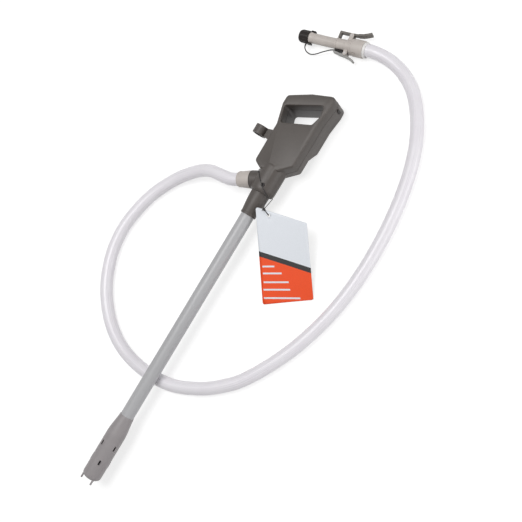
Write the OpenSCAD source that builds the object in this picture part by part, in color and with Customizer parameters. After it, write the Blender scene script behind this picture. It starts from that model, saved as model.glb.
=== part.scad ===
// Automatic fuel transfer pump, lying on the heel of its handle.
// X points right across the head, Y along the suction tube towards the handle, Z up.
// The origin is on the heel's back face, where the head rests.

/* [Head] */
// Width of the head across its front panel
body_w = 65; // [63:1:70]
// Height of the head, from the panel's lowest corner to the handle's top
head_h = 150; // [147:1:165]
// Distance from the socket's rim to the panel's lowest corner
panel_y = 71; // [70:1:74]
// Depth of each shell half at the panel
half_depth = 19; // [18.5:0.5:22]
// Wall of the shells
wall = 2.2; // [1.8:0.1:2.4]
// Rounding of the shells' outer edges
edge_r = 4.5; // [3:0.5:5]
// Diameter of the pod over the neck
pod_d = 41; // [40:0.5:46]

/* [Tube and foot] */
// Outer diameter of the suction tube
tube_od = 22; // [20:0.5:23]
// Wall of the suction tube
tube_wall = 1.5; // [1:0.1:2]
// Length of tube that shows between the socket's rim and the foot
tube_run = 362; // [200:1:500]
// Length of the foot's cone
cone_len = 31; // [25:1:45]
// Length of the foot from the cone to the end cap
foot_len = 73; // [64:1:100]
// Outer diameter of the foot
foot_od = 30.4; // [29:0.2:34]
// Length of the foot's legs
leg_len = 5; // [3:0.5:8]

/* [Outlet and hose] */
// Angle between the outlet branch and the tube below it
outlet_angle = 66; // [60:1:75]
// Distance from the socket's rim to the outlet branch
outlet_y = 63.4; // [62:0.2:65]
// Outer diameter of the hose
hose_od = 21; // [19:0.5:21]
// Length of the outlet nut
outlet_nut_len = 22; // [20:0.5:24]

/* [Nozzle] */
// Outer diameter of the spout tube
spout_od = 16.4; // [14:0.2:16.8]
// Length of spout tube that shows
spout_run = 48.5; // [30:0.5:80]
// Outer diameter of the collar nut
collar_d = 27.4; // [26.8:0.2:30]
// Outer diameter of the cap
cap_d = 20; // [19.4:0.2:24]
// Bore of the holder ring on the head
holder_bore = 17; // [17:0.1:18]
// Wall of the holder ring
holder_wall = 2.75; // [2:0.25:4]
// Width of the holder ring along the tube
holder_len = 14.4; // [10:0.2:18]

/* [Drive] */
// Diameter of the motor
motor_od = 27.7; // [24:0.1:27.8]
// Length of the motor
motor_len = 38; // [30:0.5:39]
// Diameter of the drive shaft
shaft_d = 3; // [2:0.1:3.2]
// Diameter of each battery cell
cell_d = 14; // [12:0.1:14.2]
// Length of each battery cell
cell_len = 50; // [40:0.5:50]

/* [Tag] */
// Width of the hang tag
tag_w = 82; // [60:1:90]
// Height of the hang tag at its tall side
tag_h = 150; // [110:1:152]
// Thickness of the hang tag
tag_t = 0.8; // [0.5:0.1:1.2]

/* [Hidden] */
$fn = 48;

// Overrun of every cut past the faces that it opens
over = 1;
// Gap between pieces that are assembled with play
play = 0.3;
// Radial clearance of a shaft or pin that turns in its bore
run_fit = 0.05;
// Gap between faces that are pressed or glued together
seat_gap = 0.05;
// Edge rounding of a form whose edges stay sharp
no_round = 0.01;

// Places along the tube, measured from the socket's rim
rest_y = 145;
lay_gap = 0.5;
axis_z = tube_od / 2 + hose_od + lay_gap;
heel_depth = axis_z;
socket_depth = 30;

// Outline of the head as shares of body_w across and of head_h above panel_y
outline_shares = [[-0.47, 0.053], [-0.23, 0], [0.215, 0.053], [0.523, 0.167], [0.523, 0.693],
    [0.577, 0.88], [0.562, 1], [-0.046, 0.923], [-0.623, 0.807], [-0.623, 0.707],
    [-0.477, 0.493]];
// The same outline above the heel's lower edge, whose two corners move with depth
heel_outline_shares = [[0.523, 0.693], [0.577, 0.88], [0.562, 1], [-0.046, 0.923],
    [-0.623, 0.807], [-0.623, 0.707], [-0.477, 0.493]];
// Outline of the handle's window, in the same shares
window_shares = [[-0.531, 0.697], [-0.392, 0.517], [0.369, 0.633], [0.454, 0.747], [0.4, 0.863]];
// Right end of the heel's lower edge, as a share of body_w
heel_right_share = 0.523;

// Rounding of the corners in plan and number of steps in each arc
corner_r = 7;
corner_steps = 4;
edge_steps = 3;
window_r = 4.5;
window_edge_r = 2;

// Where the heel's sloping lower wall starts and ends
heel_start_y = 113;
heel_end_y = 132;
heel_edge_r = 3;
// Step of the heel behind the panel's sides, and its overlap with them
heel_step = 0.12;
heel_overlap = 0.2;

// Neck and pod
neck_r = 15.2;
neck_y = 39;
shoulder_len = 8;
pod_end_y = 88;
pod_crown = 6;
pod_cavity_y = 47;

// Manifold
rim_r = 12.6;
rim_lip_r = 13;
rim_lip_len = 3.5;
rim_bead = 0.6;
flange_r = 18;
flange_len = 2.7;
manifold_end_y = 79;
manifold_top_len = 3;
collar_r = 14.6;
collar_end = 28.2;
spigot_r = 11.4;
spigot_end = 44;
branch_bore_r = 8;
seal_washer_len = 1;
nut_small_r = 12.2;
nut_root_r = 14;
nut_root_len = 4;
nut_rib_count = 22;
nut_rib_w = 1.1;
nut_rib_h = 0.6;
ring_groove_y = 24;
ring_groove_len = 1.6;
ring_groove_depth = 1.2;

// Screws of the head
screw_r = 1.5;
screw_head_r = 2.5;
screw_head_h = 2;
screw_ledge = 6;
screw_depth = 8;
boss_r = 3.7;
neck_screw_x = 6;
neck_screw_y = 51;
neck_screw_len = 6.3;
neck_head_r = 2.8;
neck_ledge = 1.5;
neck_boss_z = 15.5;
// Screw places as shares of the same outline
screw_shares = [[-0.377, 0.077], [0.323, 0.137], [-0.338, 0.48], [0.423, 0.547],
    [-0.477, 0.773], [0.185, 0.89]];

// Motor, cells and saddles
motor_y = 84;
motor_gap = 0.3;
cell_left_rise = 16;
cell_right_rise = 26;
cell_x = motor_od / 2 + motor_gap + cell_d / 2;
saddle_t = 2;
saddle_w = 18;
cell_saddle_w = 10;
motor_saddle_ys = [90, 114];
left_saddle_ys = [93, 116];
right_saddle_ys = [102, 116];
motor_neck_r = 5;
tab_t = 0.3;
tab_w = 8;
cap_nub_r = 2.5;
nub_len = 0.7;
motor_neck_len = 2;
motor_bevel = 1.5;
terminal_share = 0.25;
terminal_w = 2;
terminal_len = 3;
terminal_t = 0.5;
spindle_r = 1.2;
spindle_in = 8;
coupling_r = 3.5;
coupling_len = 14;
seal_r = 7;

// Control board and charging socket
board_y = 124;
board_left = 27.5;
board_right = 26;
board_h = 15;
board_t = 1.6;
board_z = -14.4;
post_r = 2.5;
post_share = 0.6;
chip_w = 7;
// Place on the board's right part, and width, of each chip
chip_shares = [[-0.35, 1], [0.1, 1.4], [0.6, 0.5], [0.8, 0.5]];
usb_y = 131.5;
usb_w = 9;
usb_h = 3.3;
usb_len = 6.8;
usb_wall = 0.4;
port_w = 15;
port_h = 5.8;
port_recess = 1.3;
flap_t = 1;
flap_barrel_r = 0.9;
flap_barrel_out = 0.35;

// Power button, on the handle's right shoulder
button_y = 208;
button_z = -10.5;
button_w = 4.8;
button_len = 13.4;
button_proud = 1;
button_travel = 1.2;
button_flange = 1.2;
button_flange_t = 1.1;
button_edge = 0.4;
switch_w = 6;
switch_t = 4;
switch_plunger_r = 1.6;
switch_plunger_len = 1;
switch_rib_t = 2.2;

// Holder ring
holder_x = -57;
holder_y = 126;
holder_z = 2;
holder_arm_t = 5;
// Corners of the arm along the ring's width: at the ring, at the head, and back
holder_arm_shares = [-0.4, -0.55, 0.75, 0.35];
holder_foot_t = 2;
holder_foot_w = 22;
holder_foot_h = 15;
holder_tongue_w = 13.6;
holder_tongue_t = 3;
holder_tongue_z = 2.5;

// Foot
foot_socket_depth = 23;
foot_wall = 1.8;
foot_top_wall = 0.7;
slot_len = 8.5;
slot_w = 3;
slot_ys = [51, 79.6];
slot_angles = [-21.5, 31];
leg_angles = [-63.5, 56.5, 176.5];
leg_r = 1.5;
leg_ring_share = 0.82;
leg_root_share = 0.2;
dome_flat_share = 0.85;
cap_floor_share = 0.25;
cap_dome = 8;
cap_plug_len = 6;
inlet_hole_r = 1.8;
inlet_ring_r = 8;
inlet_count = 6;
impeller_y = 90;
impeller_r = 12.4;
impeller_disc_t = 1.6;
vane_h = 8;
vane_t = 1.4;
vane_count = 6;
vane_curve_share = 0.62;
impeller_hub_r = 4;
bearing_ys = [-60, -185, -310];
bearing_len = 4;
bearing_arm_w = 1.6;
bearing_rim_t = 1;

// Nozzle, along its own axis from its rear end
nozzle_x = 19;
nozzle_y = 315;
nozzle_z = 14.1;
nozzle_dir = 189;
ring_half = 2;
ring_wall = 1.8;
ring_clear = 0.3;
collar_end_t = 23;
hose_end_t = 8;
rear_spigot_r = 10.8;
stop_plate_t = 1.6;
hub_r = 10.6;
hub_end_t = 34.5;
mid_r = 9.2;
flange_t = 49.5;
flange_w = 2;
nozzle_flange_r = 9.9;
spout_in = 13.5;
spout_end_in_cap = 12;
spout_wall = 1.6;
bead_len = 5.5;
bead_h = 0.8;
nozzle_bore_r = 6;
collar_rib_w = 0.9;
collar_rib_h = 0.5;
collar_rib_end = 19;
latch_t = 12;
latch_len = 7;
latch_w = 2.4;
latch_angle = 60;
sensor_ring_len = 6;
sensor_wall = 1;
cap_bevel = 3;
ear_root_share = 0.75;
latch_depth = 1.4;
latch_leg_share = 0.6;
cap_len = 18.3;
cap_floor = 6;
cap_fit = 0.35;
cap_tab_len = 6.5;
cap_tab_w = 6;
cap_tab_t = 2;
cap_grip_count = 16;
// Height of a grip rib as a share of its width
cap_grip_share = 1.4;

// Levers: pivots on the nozzle axis frame, x along the nozzle and y out from it
pivot_t = 30;
upper_pivot_r = 17;
lower_pivot_r = 13.8;
pin_r = 1;
pin_len = 12.4;
lug_r = 2.8;
ear_t = 2;
ear_in = 3.9;
ear_r = 3.3;
lever_half_w = 3.6;
slot_half = 1.8;
finger_half_w = 5;
spring_wire_r = 0.35;
spring_r = 1.75;
spring_turns = 3;
spring_pitch = 0.95;
spring_steps = 8;
spring_clear_r = 2.4;
upper_half_t = 1.6;
lower_half_t = 1.3;
upper_finger_t = 22;
lower_finger_t = 22;
// Middle lines of the levers, as shares of the pivot's place along and out
upper_lever_shares = [[1.75, 1.165], [1.35, 1.15], [1, 1.15], [0.67, 1.175], [0.4, 1.26],
    [0.17, 1.41], [-0.03, 1.58]];
lower_lever_shares = [[1.68, 1.02], [1.45, 1.11], [1.25, 1.2], [1, 1.26], [0.8, 1.35],
    [0.6, 1.49], [0.43, 1.67]];
anchor_from = 36;
anchor_to = 49.2;
anchor_t = 3;
anchor_half_w = 4;

// Tag
tag_x = 85.8;
tag_y = -105.7;
tag_z = 0.7;
tag_turn = 34.6;
tag_tilt = 17.4;
tag_shares = [[0, 0], [1, 0], [1.06, 0.767], [0.1, 1]];
tag_hole_share = [0.335, 0.895];
tag_hole_r = 2.6;
tag_corner_r = 3;
string_r = 0.6;
string_gap = 0.35;
string_mid_y = 54;
string_swing = 18;
string_from = 30;
string_steps = 22;
knot_r = 1.9;
knot_share = [0.27, 0.965];
knot_lift = 2.6;

// Hose route, in millimetres in the model's own frame
hose_route = [[-40.2, -99.5, 32.5], [-60.3, -108.44, 32.5], [-82, -110.5, 31], [-101, -112, 28],
    [-122, -119, 22.5], [-142, -132, 17], [-165, -154, 12], [-188, -192, 10.5],
    [-201, -236, 10.5], [-204, -277, 10.5], [-195, -321, 10.5], [-170, -368, 10.5],
    [-131, -407, 10.5], [-84, -431, 10.5], [-30, -439, 10.5], [24, -433, 10.5],
    [70, -412, 10.5], [102, -388, 10.5], [130, -357, 10.5], [162, -300, 10.5],
    [183, -244, 10.5], [196, -187, 10.5], [201, -125, 10.5], [199, -61, 10.5],
    [190, 2, 10.5], [175, 56, 10.5], [153, 101, 10.5], [124, 138, 10.5],
    [93, 160, 10.5], [62, 170.5, 12], [32, 172.06, 14.1], [11.1, 168.75, 14.1]];
hose_sides = 10;

// Tether route, in the nozzle's frame: along the axis, out from it, above it
tether_route = [[103, 10.6, 0], [103.5, 14, -0.5], [103, 18, -2], [99.5, 22, -5.5],
    [92, 23.5, -8.3], [83, 21, -8], [74, 17.2, -5.5], [65, 14, -3], [57, 11.6, -1],
    [50.3, 11, 0]];
tether_r = 0.9;

// Colours
taupe = "#68635e";
grey_tube = "#a8a8aa";
grey_foot = "#9b9998";
pale = "#cfc9c4";
black = "#141010";

// Vectors and outlines

function unit(v) = v / norm(v);
function out_normal(p, q) = let (d = unit(q - p)) [d.y, -d.x];
function corner_normals(pts, i) = let (n = len(pts))
    [out_normal(pts[(i + n - 1) % n], pts[i]), out_normal(pts[i], pts[(i + 1) % n])];
function moved_corner(pts, i, d) = let (s = corner_normals(pts, i))
    pts[i] + d * (s[0] + s[1]) / (1 + s[0] * s[1]);

// Points of one corner: an arc where the outline is convex, a point where it isn't
function soft_corner(pts, i, r, inset) =
    let (s = corner_normals(pts, i), bend = cross(s[0], s[1]))
    bend <= 0 ? [moved_corner(pts, i, -inset)] :
    let (core = moved_corner(pts, i, -r), start = atan2(s[0].y, s[0].x),
        turn = atan2(bend, s[0] * s[1]))
    [for (k = [0 : corner_steps]) let (a = start + turn * k / corner_steps)
        core + (r - inset) * [cos(a), sin(a)]];
function soft_outline(pts, r, inset) =
    [for (i = [0 : len(pts) - 1]) each soft_corner(pts, i, r, inset)];
function at_z(ring, z) = [for (p = ring) [p.x, p.y, z]];
function placed(shares) = [for (s = shares) [s.x * body_w, panel_y + s.y * head_h]];

body_outline = placed(outline_shares);
window_outline = placed(window_shares);
function left_side(y) = let (a = body_outline[0], b = body_outline[10])
    a.x + (b.x - a.x) * (y - a.y) / (b.y - a.y);
function heel_outline(edge_y) = concat([[left_side(edge_y), edge_y],
    [heel_right_share * body_w, edge_y]], placed(heel_outline_shares));

// Rings of a slab with a rounded top edge, from z0 up to z1
function slab_rings(pts, inset, z0, z1, r) = concat(
    [at_z(soft_outline(pts, corner_r, inset), z0)],
    [for (k = [0 : edge_steps]) let (a = 90 * k / edge_steps)
        at_z(soft_outline(pts, corner_r, inset + r * (1 - cos(a))), z1 - r + r * sin(a))]);

// Rings of an opening whose rim flares at z1
function opening_rings(pts, z0, z1, r) = concat(
    [at_z(soft_outline(pts, window_r, 0), z0)],
    [for (k = [0 : edge_steps]) let (a = 90 * k / edge_steps)
        at_z(soft_outline(pts, window_r, -r * (1 - cos(a))), z1 - r + r * sin(a))],
    [at_z(soft_outline(pts, window_r, -r), z1 + over)]);

// Rings of the heel, whose lower edge slopes with depth
function heel_edge(z) = heel_start_y + (heel_end_y - heel_start_y)
    * (z - half_depth + edge_r) / (heel_depth - half_depth + edge_r - heel_edge_r);
function heel_start_z() = half_depth - edge_r - heel_overlap;
function heel_rings(inset, z0, z1, r) = concat(
    [at_z(soft_outline(heel_outline(heel_edge(z0)), corner_r, inset), z0)],
    [for (k = [0 : edge_steps]) let (a = 90 * k / edge_steps, z = z1 - r + r * sin(a))
        at_z(soft_outline(heel_outline(heel_edge(min(z, z1 - r))), corner_r,
            inset + r * (1 - cos(a))), z)]);

// A closed solid through rings of equal count, listed from the lowest up
module loft(rings) {
    n = len(rings[0]);
    m = len(rings);
    polyhedron(points = [for (r = rings) each r],
        faces = concat([[for (i = [0 : n - 1]) i]],
            [[for (i = [n - 1 : -1 : 0]) (m - 1) * n + i]],
            [for (j = [0 : m - 2]) for (i = [0 : n - 1]) let (k = (i + 1) % n)
                each [[j * n + i, (j + 1) * n + i, (j + 1) * n + k],
                    [j * n + i, (j + 1) * n + k, j * n + k]]]));
}

// A round cord swept along points, one ring at each point
function way(pts, i) = unit(
    (i == len(pts) - 1 ? [0, 0, 0] : unit(pts[i + 1] - pts[i]))
    + (i == 0 ? [0, 0, 0] : unit(pts[i] - pts[i - 1])));
function cord_ring(pts, i, r, sides) = let (t = way(pts, i),
        u = unit(cross(abs(t.z) < 0.9 ? [0, 0, 1] : [1, 0, 0], t)), v = cross(t, u))
    [for (k = [0 : sides - 1]) let (a = 360 * (k + 0.5) / sides)
        pts[i] + r * (u * cos(a) + v * sin(a))];
module cord(pts, r, sides) loft([for (i = [0 : len(pts) - 1]) cord_ring(pts, i, r, sides)]);

// Frames

module at_rim() translate([0, -rest_y, axis_z]) children();
module along_y() rotate([-90, 0, 0]) children();
module along_x() rotate([0, 90, 0]) children();
module around_tube(a) rotate([0, a, 0]) children();
module at_outlet() at_rim() translate([0, outlet_y, 0])
    rotate([0, 0, 270 - outlet_angle]) along_x() children();
module at_nozzle() translate([nozzle_x, nozzle_y - rest_y, nozzle_z])
    rotate([0, 0, nozzle_dir]) children();
module at_tag() translate([tag_x, tag_y - rest_y, tag_z]) rotate([0, 0, tag_turn])
    rotate([tag_tilt, 0, 0]) children();
module tube_y(r, y0, y1) translate([0, y0, 0]) along_y() cylinder(r = r, h = y1 - y0);
module revolved_y(profile) along_y() rotate_extrude() polygon(profile);
module revolved_x(profile) along_x() rotate_extrude() polygon(profile);
module half_space(side) translate([0, 0, side * heel_depth * 2])
    cube([body_w * 4, head_h * 4, heel_depth * 4], center = true);

// A bar with round ends, upright, its long way along Y
module stadium(length, width, height) {
    translate([-width / 2, (width - length) / 2, 0]) cube([width, length - width, height]);
    for (s = [-1, 1])
        translate([0, s * (length - width) / 2, 0]) cylinder(d = width, h = height);
}

// Head

// Outer profile of the pod: shoulder below, crown above
pod_profile = concat([[0, neck_y], [neck_r + wall / 2, neck_y]],
    [for (a = [15 : 15 : 90]) [neck_r + wall / 2 + (pod_d / 2 - neck_r - wall / 2) * sin(a),
        neck_y + shoulder_len * (1 - cos(a))]],
    [for (a = [0 : 15 : 60]) [pod_d / 2 - pod_crown * (1 - cos(a)),
        pod_end_y - pod_crown + pod_crown * sin(a)]], [[0, pod_end_y]]);

module screw_places() for (s = placed(screw_shares)) translate([s.x, s.y, 0]) children();

module shell_form(depth_rings) {
    loft(depth_rings);
    intersection() {
        revolved_y(pod_profile);
        half_space(1);
    }
}

// Ribs that hold the motor and the cells, standing from the shell's wall
module saddles() {
    floor_z = half_depth - wall / 2;
    difference() {
        for (y = motor_saddle_ys)
            translate([-saddle_w / 2, y, 0]) cube([saddle_w, saddle_t, floor_z]);
        tube_y(motor_od / 2 + motor_gap, motor_y - over, motor_y + motor_len + over);
    }
    for (side = [[-1, left_saddle_ys], [1, right_saddle_ys]])
        difference() {
            for (y = side[1])
                translate([side[0] * cell_x - cell_saddle_w / 2, y, 0])
                    cube([cell_saddle_w, saddle_t, floor_z]);
            translate([side[0] * cell_x, 0, 0])
                tube_y(cell_d / 2 + play, motor_y - over, rest_y);
        }
}

// What both shells lose: the pod's inside, the neck, the outlet and the panel's pocket
module shell_hollow() {
    tube_y(pod_d / 2 - wall, pod_cavity_y, motor_y + over);
    tube_y(neck_r + play, neck_y - over, pod_cavity_y + over);
}

module outlet_cut() translate([0, outlet_y, 0]) rotate([0, 0, 270 - outlet_angle]) along_x()
    translate([0, 0, neck_r / 2]) cylinder(r = collar_r + play, h = spigot_end);

module front_body() difference() {
    union() {
        difference() {
            shell_form(slab_rings(body_outline, 0, 0, half_depth, edge_r));
            difference() {
                loft(slab_rings(body_outline, wall, -over, half_depth - wall, edge_r - wall));
                loft(opening_rings([for (i = [0 : len(window_outline) - 1])
                    moved_corner(window_outline, i, wall)], -over * 2, half_depth,
                    no_round));
            }
            shell_hollow();
        }
        saddles();
        intersection() {
            screw_places() cylinder(r = boss_r, h = half_depth - wall / 2);
            loft(slab_rings(body_outline, wall / 2, 0, half_depth, edge_r));
        }
        translate([neck_screw_x, neck_screw_y, neck_boss_z])
            cylinder(r = boss_r, h = neck_ledge * 2);
    }
    loft(opening_rings(window_outline, -over, half_depth, window_edge_r));
    outlet_cut();
    translate([0, 0, -over]) screw_places()
        cylinder(r = screw_r + seat_gap, h = screw_depth + over + play);
    translate([neck_screw_x, neck_screw_y, 0]) {
        cylinder(r = screw_r + 4 * seat_gap, h = pod_d);
        translate([0, 0, neck_boss_z + neck_ledge]) cylinder(r = neck_head_r + play, h = pod_d);
    }
    holder_slot();
}

module front_shell() color(taupe) at_rim() front_body();

module holder_slot() translate([left_wall_x - wall * 2, holder_y - holder_tongue_w / 2 - play,
    holder_tongue_z - holder_tongue_t / 2 - play])
    cube([wall * 4, holder_tongue_w + 2 * play, holder_tongue_t + 2 * play]);

module back_form() {
    shell_form(slab_rings(body_outline, 0, 0, half_depth, edge_r));
    loft(heel_rings(heel_step, heel_start_z(), heel_depth, heel_edge_r));
}

module back_hollow() difference() {
    union() {
        loft(slab_rings(body_outline, wall, -over, half_depth - wall, edge_r - wall));
        loft(heel_rings(wall + heel_step, heel_start_z(), heel_depth - wall,
            heel_edge_r - wall / 2));
    }
    loft(opening_rings([for (i = [0 : len(window_outline) - 1])
        moved_corner(window_outline, i, wall)], -over * 2, heel_depth,
        no_round));
}

// Left wall of the panel and the height of the charging port
left_wall_x = outline_shares[10].x * body_w;
port_z = board_z + board_t + usb_h / 2;

// Right wall of the handle at the button's height, and the switch behind it
button_wall_x = body_w * (outline_shares[6].x + (outline_shares[5].x - outline_shares[6].x)
    * (outline_shares[6].y - (button_y - panel_y) / head_h)
    / (outline_shares[6].y - outline_shares[5].y));
flange_x = button_wall_x - wall - 2 * play - button_flange_t;
switch_x = flange_x - button_travel - play - switch_plunger_len - switch_t;

// Drawn with its depth upwards, then turned over
module back_body() difference() {
    union() {
        difference() {
            back_form();
            back_hollow();
            shell_hollow();
        }
        saddles();
        intersection() {
            union() {
                screw_places() cylinder(r = boss_r, h = heel_depth);
                translate([switch_x - switch_rib_t, button_y - switch_w, 0])
                    cube([switch_rib_t, switch_w * 2, heel_depth]);
                for (s = [-1, 1]) translate([s * board_right * post_share,
                    board_y + board_h / 2, -board_z]) cylinder(r = post_r, h = heel_depth);
            }
            union() {
                loft(slab_rings(body_outline, wall / 2, 0, half_depth, edge_r));
                loft(heel_rings(wall / 2 + heel_step, heel_start_z(), heel_depth - wall / 2,
                    heel_edge_r));
            }
        }
    }
    loft(opening_rings(window_outline, -over, heel_depth, window_edge_r));
    outlet_cut();
    translate([0, 0, -over]) screw_places()
        cylinder(r = screw_r + 4 * seat_gap, h = heel_depth);
    translate([0, 0, screw_ledge]) screw_places()
        cylinder(r = screw_head_r + play, h = heel_depth);
    translate([button_wall_x - wall * 2, button_y, -button_z]) rotate([90, 0, 90])
        stadium(button_len + 2 * play, button_w + 2 * play, wall * 4);
    translate([left_wall_x + wall / 2, usb_y, -port_z])
        cube([wall * 3, usb_w + 2 * play, usb_h + 2 * play], center = true);
}

module back_shell() color(taupe) at_rim() difference() {
    mirror([0, 0, 1]) back_body();
    port_recess_cut();
}

module port_recess_cut() translate([left_wall_x - over, usb_y - port_w / 2, port_z - port_h / 2])
    cube([over + port_recess, port_w, port_h]);

// Cross recess in a screw's head, its open side at the origin, pointing up
module drive_recess() for (a = [0, 90]) rotate([0, 0, a])
    translate([-screw_head_r / 2, -screw_r / 5, -screw_head_h / 2])
        cube([screw_head_r, screw_r * 2 / 5, screw_head_h]);

module shell_screws() color("silver") at_rim() {
    screw_places() {
        translate([0, 0, -screw_ledge - seat_gap])
            cylinder(r = screw_r, h = screw_ledge + screw_depth + seat_gap);
        translate([0, 0, -screw_ledge - screw_head_h]) difference() {
            cylinder(r = screw_head_r, h = screw_head_h);
            mirror([0, 0, 1]) drive_recess();
        }
    }
    translate([neck_screw_x, neck_screw_y, neck_boss_z + neck_ledge]) {
        translate([0, 0, -neck_screw_len]) cylinder(r = screw_r, h = neck_screw_len + seat_gap);
        difference() {
            cylinder(r = neck_head_r, h = screw_head_h);
            translate([0, 0, screw_head_h]) drive_recess();
        }
    }
}

// Neck piece

neck_taper_end = neck_y - wall;
manifold_profile = concat([[0, 0], [rim_r, 0], [rim_lip_r, rim_bead],
    [rim_lip_r, rim_lip_len - rim_bead], [rim_r, rim_lip_len]],
    [for (k = [1 : 5]) [rim_r + (neck_r - rim_r) * sin(18 * k),
        rim_lip_len + (neck_taper_end - rim_lip_len) * k / 5]],
    [[neck_r, pod_cavity_y + play], [flange_r, pod_cavity_y + play],
        [flange_r, pod_cavity_y + play + flange_len], [neck_r, pod_cavity_y + play + flange_len],
        [neck_r, manifold_end_y], [0, manifold_end_y]]);
tube_bore_r = tube_od / 2 - tube_wall;

module manifold() color(taupe) difference() {
    union() {
        at_rim() revolved_y(manifold_profile);
        at_outlet() {
            cylinder(r = collar_r, h = collar_end);
            cylinder(r = spigot_r, h = spigot_end);
        }
    }
    at_rim() {
        tube_y(tube_od / 2 + seat_gap, -over, socket_depth);
        tube_y(tube_bore_r, 0, manifold_end_y - manifold_top_len);
        tube_y(shaft_d, 0, manifold_end_y + over);
        tube_y(tube_od / 2 + ring_groove_depth, ring_groove_y, ring_groove_y + ring_groove_len);
        translate([neck_screw_x, neck_screw_y, neck_boss_z + neck_ledge - neck_screw_len - play])
            cylinder(r = screw_r + seat_gap, h = pod_d);
        translate([neck_screw_x, neck_screw_y, neck_boss_z - play])
            cylinder(r = boss_r + play, h = pod_d);
    }
    at_outlet() cylinder(r = branch_bore_r, h = spigot_end + over);
}

module tube_seal() color(black) at_rim()
    translate([0, ring_groove_y + ring_groove_len / 2, 0]) along_y() rotate_extrude()
        translate([tube_od / 2 + ring_groove_depth / 2 + seat_gap / 2, 0])
            circle(d = ring_groove_depth - 2 * seat_gap, $fn = 24);

tube_end_y = -tube_run - foot_socket_depth;
module suction_tube() color(grey_tube) at_rim() difference() {
    tube_y(tube_od / 2, tube_end_y + play, socket_depth - play);
    tube_y(tube_bore_r, tube_end_y - over, socket_depth + over);
}

// Foot, drawn from the end of the shown tube downwards

foot_y0 = -tube_run;
foot_y1 = -tube_run - cone_len;
foot_y2 = foot_y1 - foot_len;
foot_bore_r = foot_od / 2 - foot_wall;
foot_top_r = tube_od / 2 + foot_top_wall;
foot_profile = concat([[0, foot_y2], [foot_od / 2, foot_y2], [foot_od / 2, foot_y1]],
    [for (k = [1 : 5]) let (e = (1 - cos(36 * k)) / 2)
        [foot_od / 2 + (foot_top_r - foot_od / 2) * (k / 5 + e) / 2,
            foot_y1 + (foot_y0 - foot_y1) * k / 5]], [[0, foot_y0]]);

module side_slot(y, angle) around_tube(angle) translate([0, y, foot_bore_r - over])
    stadium(slot_len, slot_w, foot_wall + 2 * over);

module foot_housing() color(grey_foot) at_rim() difference() {
    revolved_y(foot_profile);
    tube_y(tube_od / 2 + seat_gap, tube_end_y, foot_y0 + over);
    tube_y(tube_bore_r, foot_y2 - over, foot_y0);
    tube_y(foot_bore_r, foot_y2 - over, tube_end_y - foot_wall * 2);
    for (row = [0 : 1]) for (k = [0 : 3])
        side_slot(foot_y0 - slot_ys[row], slot_angles[row] + 90 * k);
}

cap_profile = concat([[0, foot_y2 + cap_plug_len], [foot_bore_r - play, foot_y2 + cap_plug_len],
    [foot_bore_r - play, foot_y2], [foot_od / 2, foot_y2]],
    [for (a = [15 : 15 : 90]) [foot_od / 2 * cos(a * dome_flat_share),
        foot_y2 - cap_dome * sin(a)]], [[0, foot_y2 - cap_dome]]);

module foot_cap() color(grey_foot) at_rim() {
    difference() {
        revolved_y(cap_profile);
        tube_y(foot_bore_r - play - foot_wall, foot_y2 - cap_floor_share * cap_dome,
            foot_y2 + cap_plug_len + over);
        for (k = [0 : inlet_count - 1]) around_tube(360 * k / inlet_count)
            translate([0, 0, inlet_ring_r])
                tube_y(inlet_hole_r, foot_y2 - cap_dome - over, foot_y2 + over);
    }
    difference() {
        tube_y(shaft_d / 2 + foot_wall, foot_y2 - cap_dome / 2, foot_y2 + cap_plug_len);
        tube_y(shaft_d / 2 + run_fit, foot_y2 - cap_dome / 2 + over, foot_y2 + cap_plug_len + over);
    }
    for (a = leg_angles) around_tube(a) translate([0, 0, foot_od / 2 * leg_ring_share])
        tube_y(leg_r, foot_y2 - cap_dome - leg_len, foot_y2 - cap_dome * leg_root_share);
}

// Drive

impeller_end_y = foot_y0 - impeller_y;
shaft_end_y = foot_y2 + play;
coupling_y = outlet_y - coupling_len / 2;

module impeller() color("dimgray") at_rim() difference() {
    union() {
        tube_y(impeller_r, impeller_end_y, impeller_end_y + impeller_disc_t);
        tube_y(impeller_hub_r, impeller_end_y, impeller_end_y + impeller_disc_t + vane_h);
        translate([0, impeller_end_y, 0]) along_y() for (k = [0 : vane_count - 1])
            rotate([0, 0, 360 * k / vane_count]) linear_extrude(impeller_disc_t + vane_h)
                intersection() {
                    translate([impeller_r / 2, impeller_r / 2]) difference() {
                        circle(r = impeller_r * vane_curve_share + vane_t / 2);
                        circle(r = impeller_r * vane_curve_share - vane_t / 2);
                    }
                    translate([impeller_r / 2, 0]) square([impeller_r, impeller_r], center = true);
                    circle(r = impeller_r - vane_t / 2);
                }
    }
    tube_y(shaft_d / 2 + seat_gap / 2, impeller_end_y - over, impeller_end_y + vane_h * 2);
}

module drive_shaft() color("silver") at_rim()
    tube_y(shaft_d / 2, shaft_end_y, coupling_y + coupling_len / 2 - play);

module shaft_bearings() color("white") at_rim() for (y = bearing_ys) difference() {
    union() {
        difference() {
            tube_y(tube_bore_r - seat_gap, y, y + bearing_len);
            tube_y(tube_bore_r - bearing_rim_t, y - over, y + bearing_len + over);
        }
        tube_y(shaft_d / 2 + run_fit + bearing_rim_t * 2, y, y + bearing_len);
        for (k = [0 : 2]) around_tube(120 * k)
            translate([-bearing_arm_w / 2, y, shaft_d / 2 + bearing_rim_t])
                cube([bearing_arm_w, bearing_len, tube_bore_r - shaft_d / 2 - 1.5 * bearing_rim_t]);
    }
    tube_y(shaft_d / 2 + run_fit, y - over, y + bearing_len + over);
}

module shaft_coupling() color("goldenrod") at_rim() difference() {
    tube_y(coupling_r, coupling_y, coupling_y + coupling_len);
    tube_y(shaft_d / 2 + seat_gap / 2, coupling_y - over, coupling_y + coupling_len / 2);
    tube_y(spindle_r + seat_gap / 2, coupling_y, coupling_y + coupling_len + over);
}

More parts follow.
